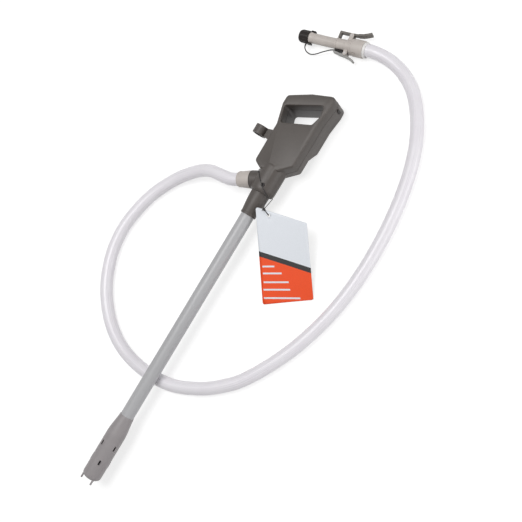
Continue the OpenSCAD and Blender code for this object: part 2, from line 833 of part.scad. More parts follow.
module motor_spindle() color("silver") at_rim()
    tube_y(spindle_r, coupling_y + coupling_len / 2, motor_y + spindle_in);

module motor() color("silver") at_rim() {
    difference() {
        union() {
            revolved_y([[0, motor_y], [motor_od / 2 - motor_bevel, motor_y],
                [motor_od / 2, motor_y + motor_bevel],
                [motor_od / 2, motor_y + motor_len - motor_bevel],
                [motor_od / 2 - motor_bevel, motor_y + motor_len], [0, motor_y + motor_len]]);
            tube_y(motor_neck_r, motor_y - motor_neck_len, motor_y + over);
            tube_y(motor_neck_r, motor_y + motor_len - over, motor_y + motor_len + motor_neck_len);
        }
        tube_y(spindle_r + run_fit, 0, motor_y + spindle_in + over);
    }
    for (s = [-1, 1]) translate([s * motor_od * terminal_share - terminal_w / 2,
        motor_y + motor_len - over, -terminal_t / 2])
        cube([terminal_w, over + terminal_len, terminal_t]);
}

module motor_seal() color(black) at_rim() difference() {
    tube_y(seal_r, manifold_end_y, motor_y - motor_neck_len);
    tube_y(spindle_r + run_fit, 0, motor_y);
}

module at_cells() for (side = [[-1, cell_left_rise], [1, cell_right_rise]])
    translate([side[0] * cell_x, panel_y + side[1], 0]) children();

module battery_cells() color("steelblue") at_rim() at_cells() {
    tube_y(cell_d / 2, 0, cell_len);
    tube_y(cap_nub_r, cell_len - over, cell_len + nub_len);
}

module battery_tabs() color("silver") at_rim() at_cells() for (y = [-tab_t, cell_len + nub_len])
    translate([-tab_w / 2, y, -tab_w / 2]) cube([tab_w, tab_t, tab_w]);

module control_board() color("darkgreen") at_rim() {
    translate([-board_left, board_y, board_z]) cube([board_left + board_right, board_h, board_t]);
    for (s = chip_shares)
        translate([s[0] * board_right, board_y + board_h / 3, board_z + board_t / 2])
            cube([s[1] * chip_w, chip_w, board_t]);
}

module usb_socket() color("silver") at_rim() difference() {
    translate([left_wall_x + port_recess + play, usb_y - usb_w / 2, board_z + board_t])
        cube([usb_len, usb_w, usb_h]);
    translate([left_wall_x + port_recess + play - over, usb_y - usb_w / 2 + usb_wall,
        board_z + board_t + usb_wall]) cube([usb_len, usb_w - 2 * usb_wall, usb_h - 2 * usb_wall]);
}

flap_hinge_y = usb_y + port_w / 2 - play - flap_barrel_r;
module port_flap() color(black) at_rim() {
    translate([left_wall_x, usb_y - port_w / 2 + play, port_z - port_h / 2 + play])
        cube([flap_t, flap_hinge_y - usb_y + port_w / 2 - play, port_h - 2 * play]);
    translate([left_wall_x - flap_barrel_out, flap_hinge_y, port_z - port_h / 2 + play])
        cylinder(r = flap_barrel_r, h = port_h - 2 * play, $fn = 24);
    translate([left_wall_x - flap_t / 2, usb_y - port_w / 2 + play, port_z - port_h / 4])
        cube([flap_t, flap_t, port_h / 2]);
}

// Power button and its switch

module at_button(x) translate([x, button_y, button_z]) rotate([90, 0, 90]) children();

module power_button() color(black) at_rim() {
    at_button(flange_x) stadium(button_len + 2 * button_flange, button_w + 2 * button_flange,
        button_flange_t);
    at_button(flange_x) stadium(button_len, button_w,
        button_wall_x + button_proud - flange_x - button_edge);
    at_button(button_wall_x + button_proud - button_edge - seat_gap)
        stadium(button_len - 2 * button_edge, button_w - 2 * button_edge, button_edge + seat_gap);
}

module button_switch() color("darkslategray") at_rim() {
    translate([switch_x, button_y - switch_w / 2, button_z - switch_w / 2])
        cube([switch_t, switch_w, switch_w]);
    translate([switch_x, button_y, button_z]) along_x()
        cylinder(r = switch_plunger_r, h = switch_t + switch_plunger_len);
}

// Ring that holds the nozzle

module nozzle_holder() color(taupe) at_rim() difference() {
    union() {
        translate([holder_x, 0, holder_z])
            tube_y(holder_bore / 2 + holder_wall, holder_y - holder_len / 2,
                holder_y + holder_len / 2);
        translate([0, holder_y, holder_z - holder_arm_t / 2]) linear_extrude(holder_arm_t)
            polygon([for (i = [0 : 3]) [i == 0 || i == 3 ? holder_x : left_wall_x,
                holder_len * holder_arm_shares[i]]]);
        translate([left_wall_x - holder_foot_t - seat_gap, holder_y - holder_foot_w / 2,
            holder_z - holder_foot_h / 2]) cube([holder_foot_t, holder_foot_w, holder_foot_h]);
        translate([left_wall_x - holder_foot_t, holder_y - holder_tongue_w / 2,
            holder_tongue_z - holder_tongue_t / 2])
            cube([holder_foot_t + wall, holder_tongue_w, holder_tongue_t]);
    }
    translate([holder_x, 0, holder_z])
        tube_y(holder_bore / 2, holder_y - holder_len, holder_y + holder_len);
}

// Outlet nut and its washer

nut_start = collar_end + seal_washer_len + play;
nut_end = nut_start + outlet_nut_len;
hose_bore_r = hose_od / 2 + play + seat_gap;

module outlet_nut() color(pale) at_outlet() difference() {
    union() {
        rotate_extrude() polygon([[0, nut_start], [nut_root_r, nut_start],
            [nut_root_r, nut_start + nut_root_len], [nut_small_r, nut_end - nut_rib_w],
            [nut_small_r - nut_rib_h, nut_end], [0, nut_end]]);
        for (k = [0 : nut_rib_count - 1]) rotate([0, 0, 360 * k / nut_rib_count])
            translate([nut_small_r - nut_rib_w, -nut_rib_w / 2, nut_start + nut_rib_w])
                cube([nut_rib_w + nut_rib_h, nut_rib_w, outlet_nut_len - 3 * nut_rib_w]);
    }
    translate([0, 0, nut_start - over]) cylinder(r = spigot_r + play + run_fit,
        h = spigot_end + play - nut_start + over);
    cylinder(r = hose_bore_r, h = nut_end + over);
}

module outlet_seal() color(black) at_outlet() translate([0, 0, collar_end]) difference() {
    cylinder(r = collar_r - play, h = seal_washer_len);
    translate([0, 0, -over]) cylinder(r = spigot_r + seat_gap * 2, h = seal_washer_len + 2 * over);
}

module hose() color("lavender", 0.7) cord(hose_route, hose_od / 2, hose_sides);

// Nozzle, with x along its axis from the rear and y out from it

hub_start = collar_end_t + play;
spout_start = flange_t + flange_w;
cap_start = spout_start + spout_run;
spout_r = spout_od / 2;

module nozzle_ring() color("white") at_nozzle() difference() {
    revolved_x([[0, -ring_half], [hose_od / 2 + ring_wall, -ring_half],
        [hose_od / 2 + ring_wall + play, 0], [hose_od / 2 + ring_wall + play, ring_half],
        [0, ring_half]]);
    translate([-ring_half - over, 0, 0]) along_x()
        cylinder(r = hose_od / 2 + ring_clear, h = 2 * ring_half + 2 * over);
}

module nozzle_nut() color(pale) at_nozzle() difference() {
    revolved_x([[0, ring_half + play], [collar_d / 2 - collar_rib_h, ring_half + play],
        [collar_d / 2, ring_half + play + collar_rib_w], [collar_d / 2, collar_rib_end],
        [collar_d / 2 - collar_rib_h, collar_rib_end + collar_rib_h],
        [collar_d / 2 - collar_rib_h, collar_end_t], [0, collar_end_t]]);
    along_x() cylinder(r = rear_spigot_r + play + run_fit, h = collar_end_t + over);
    for (k = [0 : 2]) rotate([120 * k + latch_angle, 0, 0])
        translate([latch_t, -latch_w / 2, collar_d / 2 - latch_depth]) {
            cube([latch_len, latch_w, collar_d]);
            cube([latch_w, latch_len * latch_leg_share, collar_d]);
        }
}

module post_ears(pivot_r, side) mirror([0, side < 0 ? 1 : 0, 0]) for (s = [-1, 1])
    translate([0, 0, s > 0 ? ear_in : -ear_in - ear_t]) {
        translate([pivot_t - ear_r, hub_r * ear_root_share, 0])
            cube([2 * ear_r, pivot_r - hub_r * ear_root_share, ear_t]);
        translate([pivot_t, pivot_r, 0]) cylinder(r = ear_r, h = ear_t);
    }

module pivots(r, length) for (p = [-upper_pivot_r, lower_pivot_r])
    translate([pivot_t, p, -length / 2]) cylinder(r = r, h = length, $fn = 24);

module nozzle_body() color(pale) at_nozzle() difference() {
    union() {
        revolved_x([[0, hose_end_t], [rear_spigot_r, hose_end_t], [rear_spigot_r, hub_start],
            [collar_d / 2 - collar_rib_h, hub_start],
            [collar_d / 2 - collar_rib_h, hub_start + stop_plate_t],
            [hub_r, hub_start + stop_plate_t], [hub_r, hub_end_t - over], [mid_r, hub_end_t],
            [mid_r, flange_t], [nozzle_flange_r, flange_t], [nozzle_flange_r, spout_start],
            [0, spout_start]]);
        post_ears(upper_pivot_r, -1);
        post_ears(lower_pivot_r, 1);
    }
    along_x() cylinder(r = nozzle_bore_r, h = spout_start + over);
    translate([spout_start - spout_in, 0, 0]) along_x()
        cylinder(r = spout_r + seat_gap, h = spout_in + over);
    pivots(pin_r + seat_gap / 2, pin_len + over);
}

module spout_tube() color(pale) at_nozzle() difference() {
    revolved_x([[0, spout_start - spout_in + play], [spout_r, spout_start - spout_in + play],
        [spout_r, cap_start - bead_len], [spout_r + bead_h, cap_start - bead_len / 2],
        [spout_r + bead_h, cap_start - play * 2], [spout_r, cap_start - play],
        [spout_r, cap_start + spout_end_in_cap], [0, cap_start + spout_end_in_cap]]);
    along_x() cylinder(r = spout_r - spout_wall, h = cap_start + cap_len);
}

module level_sensor() color("dimgray") at_nozzle() {
    ring_r = spout_r - spout_wall - seat_gap;
    difference() {
        translate([cap_start - sensor_ring_len, 0, 0]) along_x()
            cylinder(r = ring_r, h = sensor_ring_len);
        along_x() cylinder(r = ring_r - sensor_wall, h = cap_start + over);
    }
    translate([cap_start - sensor_ring_len, -ring_r + sensor_wall / 2, -sensor_wall / 2])
        cube([sensor_ring_len, 2 * ring_r - sensor_wall, sensor_wall]);
    for (s = [-1, 1]) translate([cap_start - sensor_ring_len, s * ring_r / 2, 0]) along_x()
        cylinder(r = sensor_wall, h = sensor_ring_len + spout_end_in_cap - over);
}

// Polygon of a bent strip: half-thickness on either side of its middle line
function side_dir(pts, i) = let (a = pts[max(i - 1, 0)], b = pts[min(i + 1, len(pts) - 1)],
    d = unit(b - a)) [-d.y, d.x];
function strip(pts, half) = concat([for (i = [0 : len(pts) - 1]) pts[i] + half * side_dir(pts, i)],
    [for (i = [len(pts) - 1 : -1 : 0]) pts[i] - half * side_dir(pts, i)]);

// One lever in the x and out plane, with lugs round its pin and room for the spring
module lever(path, half, pivot_r, finger_from) difference() {
    union() {
        translate([0, 0, -lever_half_w]) linear_extrude(2 * lever_half_w) polygon(strip(path, half));
        translate([0, 0, -finger_half_w]) linear_extrude(2 * finger_half_w)
            polygon(strip([for (p = path) if (p.x < finger_from) p], half));
        translate([pivot_t, pivot_r, -lever_half_w]) cylinder(r = lug_r, h = 2 * lever_half_w);
        translate([pivot_t - lug_r, pivot_r, -lever_half_w])
            cube([2 * lug_r, lug_r, 2 * lever_half_w]);
    }
    translate([pivot_t, pivot_r, -slot_half]) cylinder(r = spring_clear_r, h = 2 * slot_half);
    translate([pivot_t - spring_clear_r, pivot_r - lug_r - over, -slot_half])
        cube([2 * spring_clear_r, lug_r + over, 2 * slot_half]);
    translate([pivot_t, pivot_r, -finger_half_w]) cylinder(r = pin_r + run_fit,
        h = 2 * finger_half_w, $fn = 24);
}

// Middle lines of the levers, each point as a share of the pivot's two places
function lever_path(pivot_r, shares) = [for (s = shares) [s.x * pivot_t, s.y * pivot_r]];
upper_path = lever_path(upper_pivot_r, upper_lever_shares);
lower_path = lever_path(lower_pivot_r, lower_lever_shares);

module upper_lever() color("#5d5a55") at_nozzle() mirror([0, 1, 0]) {
    lever(upper_path, upper_half_t, upper_pivot_r, upper_finger_t);
    translate([upper_path[0].x - 2 * upper_half_t, nozzle_flange_r + play + seat_gap,
        -lever_half_w]) cube([2 * upper_half_t, upper_path[0].y - nozzle_flange_r - play,
        2 * lever_half_w]);
}

module lower_lever() color(grey_foot) at_nozzle()
    lever(lower_path, lower_half_t, lower_pivot_r, lower_finger_t);

module lever_pins() color("silver") at_nozzle() pivots(pin_r, pin_len);

function coil(r, pitch, turns, steps) = [for (k = [0 : turns * steps])
    let (a = 360 * k / steps) [r * cos(a), r * sin(a), pitch * (k / steps - turns / 2)]];
coil_points = coil(spring_r, spring_pitch, spring_turns, spring_steps);
echo(least_gap_between_spring_turns = spring_pitch - 2 * spring_wire_r);

module lever_springs() color("silver") at_nozzle()
    for (p = [-upper_pivot_r, lower_pivot_r]) translate([pivot_t, p, 0])
        cord(coil_points, spring_wire_r, 6);

module tether_anchor() color(black) at_nozzle() difference() {
    translate([anchor_from, mid_r + seat_gap, -anchor_half_w])
        cube([anchor_to - anchor_from, anchor_t, 2 * anchor_half_w]);
    translate([(anchor_from + anchor_to) / 2, mid_r, 0]) rotate([-90, 0, 0])
        cylinder(r = anchor_half_w / 2, h = 2 * anchor_t, $fn = 24);
}

cap_r = cap_d / 2;
module nozzle_cap() color(black) at_nozzle() difference() {
    union() {
        revolved_x([[0, cap_start], [cap_r, cap_start], [cap_r, cap_start + cap_len - cap_bevel],
            [cap_r - cap_bevel / 3, cap_start + cap_len - cap_bevel / 3],
            [cap_r - cap_bevel, cap_start + cap_len], [0, cap_start + cap_len]]);
        for (s = [-1, 1]) translate([cap_start - cap_tab_len,
            s > 0 ? spout_r + bead_h + cap_fit : -spout_r - bead_h - cap_fit - cap_tab_t,
            -cap_tab_w / 2]) cube([cap_tab_len + over, cap_tab_t, cap_tab_w]);
        for (k = [0 : cap_grip_count - 1]) rotate([360 * k / cap_grip_count, 0, 0])
            translate([cap_start + over, -over / 2, cap_r - over])
                cube([cap_len - cap_bevel - 2 * over, over, over * cap_grip_share]);
    }
    along_x() cylinder(r = spout_r + cap_fit, h = cap_start + cap_len - cap_floor);
}

module cap_tether() color(black) at_nozzle() cord(tether_route, tether_r, 8);

// Tag and string

tag_outline = [for (s = tag_shares) [s.x * tag_w, s.y * tag_h]];
tag_hole = [tag_hole_share.x * tag_w, tag_hole_share.y * tag_h];
tag_knot_place = [knot_share.x * tag_w, knot_share.y * tag_h];

module hang_tag() color("white") at_tag() linear_extrude(tag_t) difference() {
    polygon(soft_outline(tag_outline, tag_corner_r, 0));
    translate(tag_hole) circle(r = tag_hole_r);
}

// The loop through the hole and over the tag's upper edge: two strands and two half rings
loop_r = tag_t / 2 + string_r + 2 * string_gap;
loop_len = norm(tag_knot_place - tag_hole) - 2 * loop_r;
loop_turn = atan2(tag_knot_place.y - tag_hole.y, tag_knot_place.x - tag_hole.x);

module tag_knot() color(black) at_tag() {
    translate([tag_knot_place.x, tag_knot_place.y, tag_t / 2 + knot_lift])
        sphere(r = knot_r);
    translate([tag_hole.x, tag_hole.y, tag_t / 2]) rotate([0, 0, loop_turn])
        translate([loop_r, 0, 0]) {
            for (s = [-1, 1]) translate([0, 0, s * loop_r]) along_x()
                cylinder(r = string_r, h = loop_len);
            rotate([90, -90, 0])
                rotate_extrude(angle = 180) translate([loop_r, 0]) circle(r = string_r);
            translate([loop_len, 0, 0]) rotate([90, 90, 0])
                rotate_extrude(angle = 180) translate([loop_r, 0]) circle(r = string_r);
        }
}

function tag_to_model(p) =
    let (y = p.y * cos(tag_tilt) - p.z * sin(tag_tilt), z = p.y * sin(tag_tilt) + p.z * cos(tag_tilt))
    [tag_x + p.x * cos(tag_turn) - y * sin(tag_turn),
        tag_y - rest_y + p.x * sin(tag_turn) + y * cos(tag_turn), tag_z + z];
knot_centre = tag_to_model([tag_knot_place.x, tag_knot_place.y, tag_t / 2 + knot_lift]);

// The string goes round the neck, low at the right and high at the left
function neck_loop_r(y) = string_r + string_gap + min(pod_d / 2,
    neck_r + wall + (pod_d / 2 - neck_r - wall) * (y - neck_y + shoulder_len / 2) / shoulder_len);
neck_loop = [for (k = [0 : string_steps]) let (
    a = string_from + (360 - 2 * string_from) * k / string_steps,
    y = string_mid_y - string_swing * cos(a), r = neck_loop_r(y))
    [r * cos(a), y - rest_y, axis_z + r * sin(a)]];
function end_at_knot(p, shift) = knot_centre + (knot_r + string_r + play)
    * unit(p - knot_centre) + [0, 0, shift];
string_route = concat([end_at_knot(neck_loop[0], string_r)], neck_loop,
    [end_at_knot(neck_loop[string_steps], -string_r)]);

module tag_string() color(black) cord(string_route, string_r, 8);

front_shell();
back_shell();
shell_screws();
manifold();
tube_seal();
suction_tube();
foot_housing();
foot_cap();
impeller();
drive_shaft();
shaft_bearings();
shaft_coupling();
motor_spindle();
motor();
motor_seal();
battery_cells();
battery_tabs();
control_board();
usb_socket();
port_flap();
power_button();
button_switch();
nozzle_holder();
outlet_nut();
outlet_seal();
hose();
nozzle_body();
spout_tube();
nozzle_nut();
nozzle_ring();
level_sensor();
upper_lever();
lower_lever();
lever_pins();
lever_springs();
tether_anchor();
nozzle_cap();
cap_tether();
hang_tag();
tag_knot();
tag_string();
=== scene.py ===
"""Automatic fuel transfer pump: camera, light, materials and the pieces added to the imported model.

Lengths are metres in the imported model's frame. Sizes copied from part.scad are in millimetres."""
import math

import bmesh
import bpy
from mathutils import Matrix, Vector


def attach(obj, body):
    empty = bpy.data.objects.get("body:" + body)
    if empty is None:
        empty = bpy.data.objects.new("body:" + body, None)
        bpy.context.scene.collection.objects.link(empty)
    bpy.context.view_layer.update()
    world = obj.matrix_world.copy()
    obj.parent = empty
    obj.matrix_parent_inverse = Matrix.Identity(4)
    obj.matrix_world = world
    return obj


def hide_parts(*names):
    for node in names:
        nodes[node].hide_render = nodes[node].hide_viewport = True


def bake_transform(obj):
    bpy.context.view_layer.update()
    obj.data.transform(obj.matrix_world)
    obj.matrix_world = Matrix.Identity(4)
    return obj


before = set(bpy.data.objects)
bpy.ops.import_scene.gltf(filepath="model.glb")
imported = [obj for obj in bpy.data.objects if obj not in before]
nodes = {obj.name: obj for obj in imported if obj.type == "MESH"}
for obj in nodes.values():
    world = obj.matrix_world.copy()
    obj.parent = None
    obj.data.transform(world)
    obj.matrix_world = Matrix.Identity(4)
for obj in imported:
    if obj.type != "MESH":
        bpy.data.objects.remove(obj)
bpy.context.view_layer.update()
scene = bpy.context.scene
MM = 0.001
# Height of the tube's axis, and the distance from the socket's rim to the origin, in millimetres
AXIS_Z, REST_Y = 32.5, 145


def mm(*p):
    """A point given in millimetres, in metres."""
    return Vector(p) * MM


# Camera: its right and backward directions and its place, from the photograph
CAM_RIGHT = Vector((0.7669, 0.515, -0.3824)).normalized()
CAM_BACK = Vector((math.sin(math.radians(26.5)), 0, math.cos(math.radians(26.5))))
CAM_PLACE = Vector((0.6002, -0.195, 1.1154))
FOCAL_PX, FRAME_PX, SENSOR = 800, 522, 36

cam = bpy.data.objects.new("camera", bpy.data.cameras.new("camera"))
scene.collection.objects.link(cam)
cam_up = CAM_BACK.cross(CAM_RIGHT)
cam.matrix_world = (Matrix.Translation(CAM_PLACE)
                    @ Matrix((CAM_RIGHT, cam_up, CAM_BACK)).transposed().to_4x4())
cam.data.sensor_width = SENSOR
cam.data.lens = FOCAL_PX / FRAME_PX * SENSOR
cam.data.clip_start, cam.data.clip_end = 0.05, 20
scene.camera = cam

# Tubes and meshes


def smooth_path(points, steps):
    """Catmull-Rom curve through points, with that many steps between neighbours."""
    p = [points[0] * 2 - points[1]] + list(points) + [points[-1] * 2 - points[-2]]
    out = []
    for i in range(1, len(p) - 2):
        for k in range(steps):
            t = k / steps
            out.append(0.5 * (2 * p[i] + (p[i + 1] - p[i - 1]) * t
                              + (2 * p[i - 1] - 5 * p[i] + 4 * p[i + 1] - p[i + 2]) * t ** 2
                              + (3 * p[i] - p[i - 1] - 3 * p[i + 1] + p[i + 2]) * t ** 3))
    return out + [points[-1].copy()]


def frames_along(path, closed):
    """Two directions across the path at each of its points, without twist."""
    n = len(path)
    ways = []
    for i in range(n):
        a = path[i - 1] if closed or i else path[0]
        b = path[(i + 1) % n] if closed or i < n - 1 else path[-1]
        ways.append((b - a).normalized())
    side = ways[0].cross(Vector((0, 0, 1)))
    if side.length < 0.1:
        side = ways[0].cross(Vector((1, 0, 0)))
    out = []
    for w in ways:
        side = (side - w * side.dot(w)).normalized()
        out.append((side, w.cross(side)))
    return out


def tube_rings(bm, path, radius, sides, closed, inward=False):
    """Rings of vertices and the faces between them.

    The radius is a number, or a function of the share along the path."""
    n = len(path)
    rings = []
    for i, (p, (u, v)) in enumerate(zip(path, frames_along(path, closed))):
        r = radius(i / (n - 1)) if callable(radius) else radius
        rings.append([bm.verts.new(p + r * (math.cos(a) * u + math.sin(a) * v))
                      for a in (2 * math.pi * k / sides for k in range(sides))])
    uv = bm.loops.layers.uv.verify()
    run = 0.0
    for i in range(n if closed else n - 1):
        j = (i + 1) % n
        step = (path[j] - path[i]).length
        for k in range(sides):
            m = (k + 1) % sides
            quad = [rings[i][k], rings[i][m], rings[j][m], rings[j][k]]
            ends = [(k, run), (k + 1, run), (k + 1, run + step), (k, run + step)]
            if inward:
                quad, ends = quad[::-1], ends[::-1]
            face = bm.faces.new(quad)
            for loop, (a, b) in zip(face.loops, ends):
                loop[uv].uv = (a / sides, b)
            face.smooth = True
        run += step
    return rings


def new_piece(name, bm, body, materials, replaces=(), place=None):
    """A mesh object from bm, set at place. It rides on body, or is left free when body is None."""
    bmesh.ops.recalc_face_normals(bm, faces=bm.faces)
    mesh = bpy.data.meshes.new(name)
    bm.to_mesh(mesh)
    bm.free()
    obj = bpy.data.objects.new(name, mesh)
    scene.collection.objects.link(obj)
    if place is not None:
        obj.matrix_world = place
    for m in materials:
        mesh.materials.append(m)
    if body:
        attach(obj, body)
    if replaces:
        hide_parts(*replaces)
    return obj


def add_tube(bm, path, radius, sides=12, closed=False):
    """A solid tube with flat ends."""
    rings = tube_rings(bm, path, radius, sides, closed)
    if not closed:
        bm.faces.new(rings[0][::-1])
        bm.faces.new(rings[-1])


# Materials


def srgb(r, g, b):
    """Linear colour of a colour written as 0 to 255 on a display."""
    return tuple(c / 255 / 12.92 if c < 11 else ((c / 255 + 0.055) / 1.055) ** 2.4
                 for c in (r, g, b)) + (1.0,)


def scaled(colour, factor):
    """A colour times a factor, with its alpha kept at 1."""
    return tuple(min(1.0, c * factor) for c in colour[:3]) + (1.0,)


def add(tree, kind, inputs=None, **properties):
    """A new node; an input is a value or another node's output."""
    node = tree.nodes.new("ShaderNode" + kind)
    for key, value in properties.items():
        setattr(node, key, value)
    for key, value in (inputs or {}).items():
        if isinstance(value, bpy.types.NodeSocket):
            tree.links.new(value, node.inputs[key])
        else:
            node.inputs[key].default_value = value
    return node


def math_node(tree, operation, a, b=0.0):
    """The output of a Math node."""
    return add(tree, "Math", {0: a, 1: b}, operation=operation).outputs[0]


def remap(tree, value, low, high, to_low=0.0, to_high=1.0):
    """A value from the range low to high, moved into another range."""
    return add(tree, "MapRange", {"Value": value, "From Min": low, "From Max": high,
                                  "To Min": to_low, "To Max": to_high}).outputs[0]


def from_noise(tree, value, to_low=0.0, to_high=1.0):
    """Noise, which lies mostly between 0.3 and 0.7, moved into another range."""
    return remap(tree, value, 0.3, 0.7, to_low, to_high)


def mix(tree, share, a, b):
    """Colour a where share is 0 and b where it is 1."""
    return add(tree, "Mix", {0: share, 6: a, 7: b}, data_type="RGBA").outputs[2]


def noise(tree, where, size, detail=3.0, stretch=None):
    """Noise whose cells are about size metres across, stretched where asked."""
    if stretch:
        where = add(tree, "Mapping", {"Vector": where, "Scale": stretch}).outputs[0]
    return add(tree, "TexNoise", {"Vector": where, "Scale": 1 / size, "Detail": detail,
                                  "Roughness": 0.55}).outputs[0]


def new_material(name):
    """A material, its node tree and its main shader."""
    m = bpy.data.materials.new(name)
    m.use_nodes = True
    return m, m.node_tree, m.node_tree.nodes["Principled BSDF"]


def wire(tree, shader, colour, rough, height, strength, distance):
    """Links the colour, the roughness and a bump of that height to the shader."""
    bump = add(tree, "Bump", {"Height": height, "Strength": strength, "Distance": distance})
    for output, name in ((colour, "Base Color"), (rough, "Roughness"), (bump.outputs[0], "Normal")):
        tree.links.new(output, shader.inputs[name])


def finish_surface(tree, shader, where, rough, grain, grain_size, round_edges, spread=0.06):
    """Fine grain in the height and the roughness, and slightly rounded edges."""
    fine = noise(tree, where, grain_size, 2.0)
    tree.links.new(from_noise(tree, fine, rough - spread, rough + spread),
                   shader.inputs["Roughness"])
    bump = add(tree, "Bump", {"Height": fine, "Strength": grain, "Distance": grain_size / 2})
    if round_edges:
        bevel = add(tree, "Bevel", {"Radius": round_edges}, samples=6)
        tree.links.new(bevel.outputs[0], bump.inputs["Normal"])
    tree.links.new(bump.outputs[0], shader.inputs["Normal"])


# How far from an outer edge its wear and painted edge highlight reach
WEAR_AND_HIGHLIGHT_REACH = 0.0022


def wear_and_highlight_edges(tree, colour_out, lighter, reach, where):
    """Blends towards a lighter colour along the outer edges, in patches: partly wear, partly a
    painted highlight where the edges catch the light.
    """
    bevel = add(tree, "Bevel", {"Radius": reach}, samples=6)
    geometry = add(tree, "NewGeometry")
    flat = add(tree, "VectorMath", {0: bevel.outputs[0], 1: geometry.outputs["Normal"]},
               operation="DOT_PRODUCT").outputs["Value"]
    edge = remap(tree, flat, 0.995, 0.9)
    patch = remap(tree, noise(tree, where, 0.012), 0.35, 0.65, 0.2, 0.8)
    return mix(tree, math_node(tree, "MULTIPLY", edge, patch), colour_out, lighter)


def plastic(name, colour, rough=0.45, mottle=0.06, mottle_size=0.03, grain=0.15,
            grain_size=0.0007, round_edges=0.0006, wear_and_highlight=0.0, stretch=None, **sockets):
    """Moulded or extruded plastic: slight cloudiness, fine grain and soft edges."""
    m, tree, shader = new_material(name)
    where = add(tree, "TexCoord").outputs["Object"]
    cloud = from_noise(tree, noise(tree, where, mottle_size, 4.0, stretch))
    paint = mix(tree, cloud, scaled(colour, 1 - mottle), scaled(colour, 1 + mottle))
    # Lighter outer edges: wear, with a painted highlight along them
    if wear_and_highlight:
        paint = wear_and_highlight_edges(tree, paint, scaled(colour, 1 + wear_and_highlight), WEAR_AND_HIGHLIGHT_REACH, where)
    tree.links.new(paint, shader.inputs["Base Color"])
    finish_surface(tree, shader, where, rough, grain, grain_size, round_edges)
    for key, value in sockets.items():
        shader.inputs[key.replace("_", " ")].default_value = value
    return m


def metal(name, colour, rough=0.28, turned=(1, 1, 1), mottle=0.08):
    """Bright metal with fine drawing or turning lines along one direction."""
    m, tree, shader = new_material(name)
    where = add(tree, "TexCoord").outputs["Object"]
    lines = noise(tree, where, 0.0008, 4.0, turned)
    cloud = from_noise(tree, lines)
    paint = mix(tree, cloud, scaled(colour, 1 - mottle), scaled(colour, 1 + mottle))
    wire(tree, shader, paint, from_noise(tree, lines, rough - 0.07, rough + 0.1),
         lines, 0.12, 0.0002)
    shader.inputs["Metallic"].default_value = 1.0
    return m


HEAD = srgb(76, 70, 66)
TUBE = srgb(180, 180, 182)
FOOT = srgb(152, 147, 148)
PALE = srgb(198, 190, 184)
BLACK = srgb(20, 11, 9)
ORANGE = srgb(246, 78, 12)
CARD = srgb(232, 236, 242)

# The head's outer edges get a strong painted highlight along with their wear
head_mat = plastic("head_plastic", HEAD, rough=0.46, mottle=0.07, mottle_size=0.02, grain=0.2,
                   grain_size=0.0008, round_edges=0.0007, wear_and_highlight=0.8)
neck_mat = plastic("neck_plastic", scaled(HEAD, 0.96), rough=0.48, mottle=0.05, mottle_size=0.02,
                   grain=0.25, grain_size=0.0009, round_edges=0.0008, wear_and_highlight=0.3)
tube_mat = plastic("tube_plastic", TUBE, rough=0.36, mottle=0.04, mottle_size=0.012, grain=0.08,
                   grain_size=0.0006, round_edges=0.0004, stretch=(1, 0.06, 1))
foot_mat = plastic("foot_plastic", FOOT, rough=0.46, mottle=0.05, mottle_size=0.02, grain=0.2,
                   grain_size=0.0008, round_edges=0.0007, wear_and_highlight=0.25)
pale_mat = plastic("pale_plastic", PALE, rough=0.45, mottle=0.05, mottle_size=0.015, grain=0.15,
                   grain_size=0.0006, round_edges=0.0005, wear_and_highlight=0.08)
white_mat = plastic("white_plastic", srgb(236, 234, 232), rough=0.4, mottle=0.03,
                    mottle_size=0.015, grain=0.12)
dark_lever_mat = plastic("dark_lever", srgb(106, 101, 96), rough=0.45, mottle=0.06,
                         mottle_size=0.012, grain=0.2, wear_and_highlight=0.3)
light_lever_mat = plastic("light_lever", srgb(156, 154, 152), rough=0.5, mottle=0.06,
                          mottle_size=0.012, grain=0.2, wear_and_highlight=0.15)
black_mat = plastic("black_plastic", BLACK, rough=0.38, mottle=0.2, mottle_size=0.01, grain=0.2,
                    wear_and_highlight=0.6, Specular_IOR_Level=0.28)
rubber_mat = plastic("black_rubber", srgb(30, 28, 28), rough=0.72, mottle=0.2, mottle_size=0.006,
                     grain=0.4, grain_size=0.0005, wear_and_highlight=0.5)
wheel_mat = plastic("impeller_plastic", srgb(74, 74, 78), rough=0.4, mottle=0.06,
                    mottle_size=0.01, grain=0.15)
bearing_mat = plastic("bearing_plastic", srgb(232, 230, 222), rough=0.34, mottle=0.03,
                      mottle_size=0.01, grain=0.08)
steel_mat = metal("bright_steel", srgb(178, 178, 182), turned=(1, 0.05, 1))
screw_mat = metal("black_screw", srgb(52, 50, 50), rough=0.4)
brass_mat = metal("turned_brass", srgb(205, 168, 88), rough=0.3, turned=(1, 8, 1))
tin_mat = metal("nickel_strip", srgb(196, 196, 192), rough=0.3, turned=(0.1, 1, 1))


def cell_wrap():
    """Shrink sleeve of a cell: blue, with a pale band at the top end, glossy and slightly wavy."""
    m, tree, shader = new_material("cell_wrap")
    where = add(tree, "TexCoord").outputs["Object"]
    along = add(tree, "SeparateXYZ", {0: where}).outputs[1]
    band = add(tree, "TexWave", {"Vector": where, "Scale": 9.0, "Distortion": 0.0},
               bands_direction="Y").outputs["Fac"]
    sleeve = mix(tree, remap(tree, band, 0.93, 0.97), srgb(44, 92, 158), srgb(206, 212, 220))
    shade = from_noise(tree, noise(tree, where, 0.02), 0.0, 0.25)
    wrinkle = noise(tree, add(tree, "CombineXYZ", {0: along}).outputs[0], 0.002)
    wire(tree, shader, mix(tree, shade, sleeve, srgb(30, 66, 118)),
         from_noise(tree, noise(tree, where, 0.004), 0.2, 0.34), wrinkle, 0.1, 0.0003)
    return m


BOARD_DEPTH, BOARD_T = 14.4, 1.6


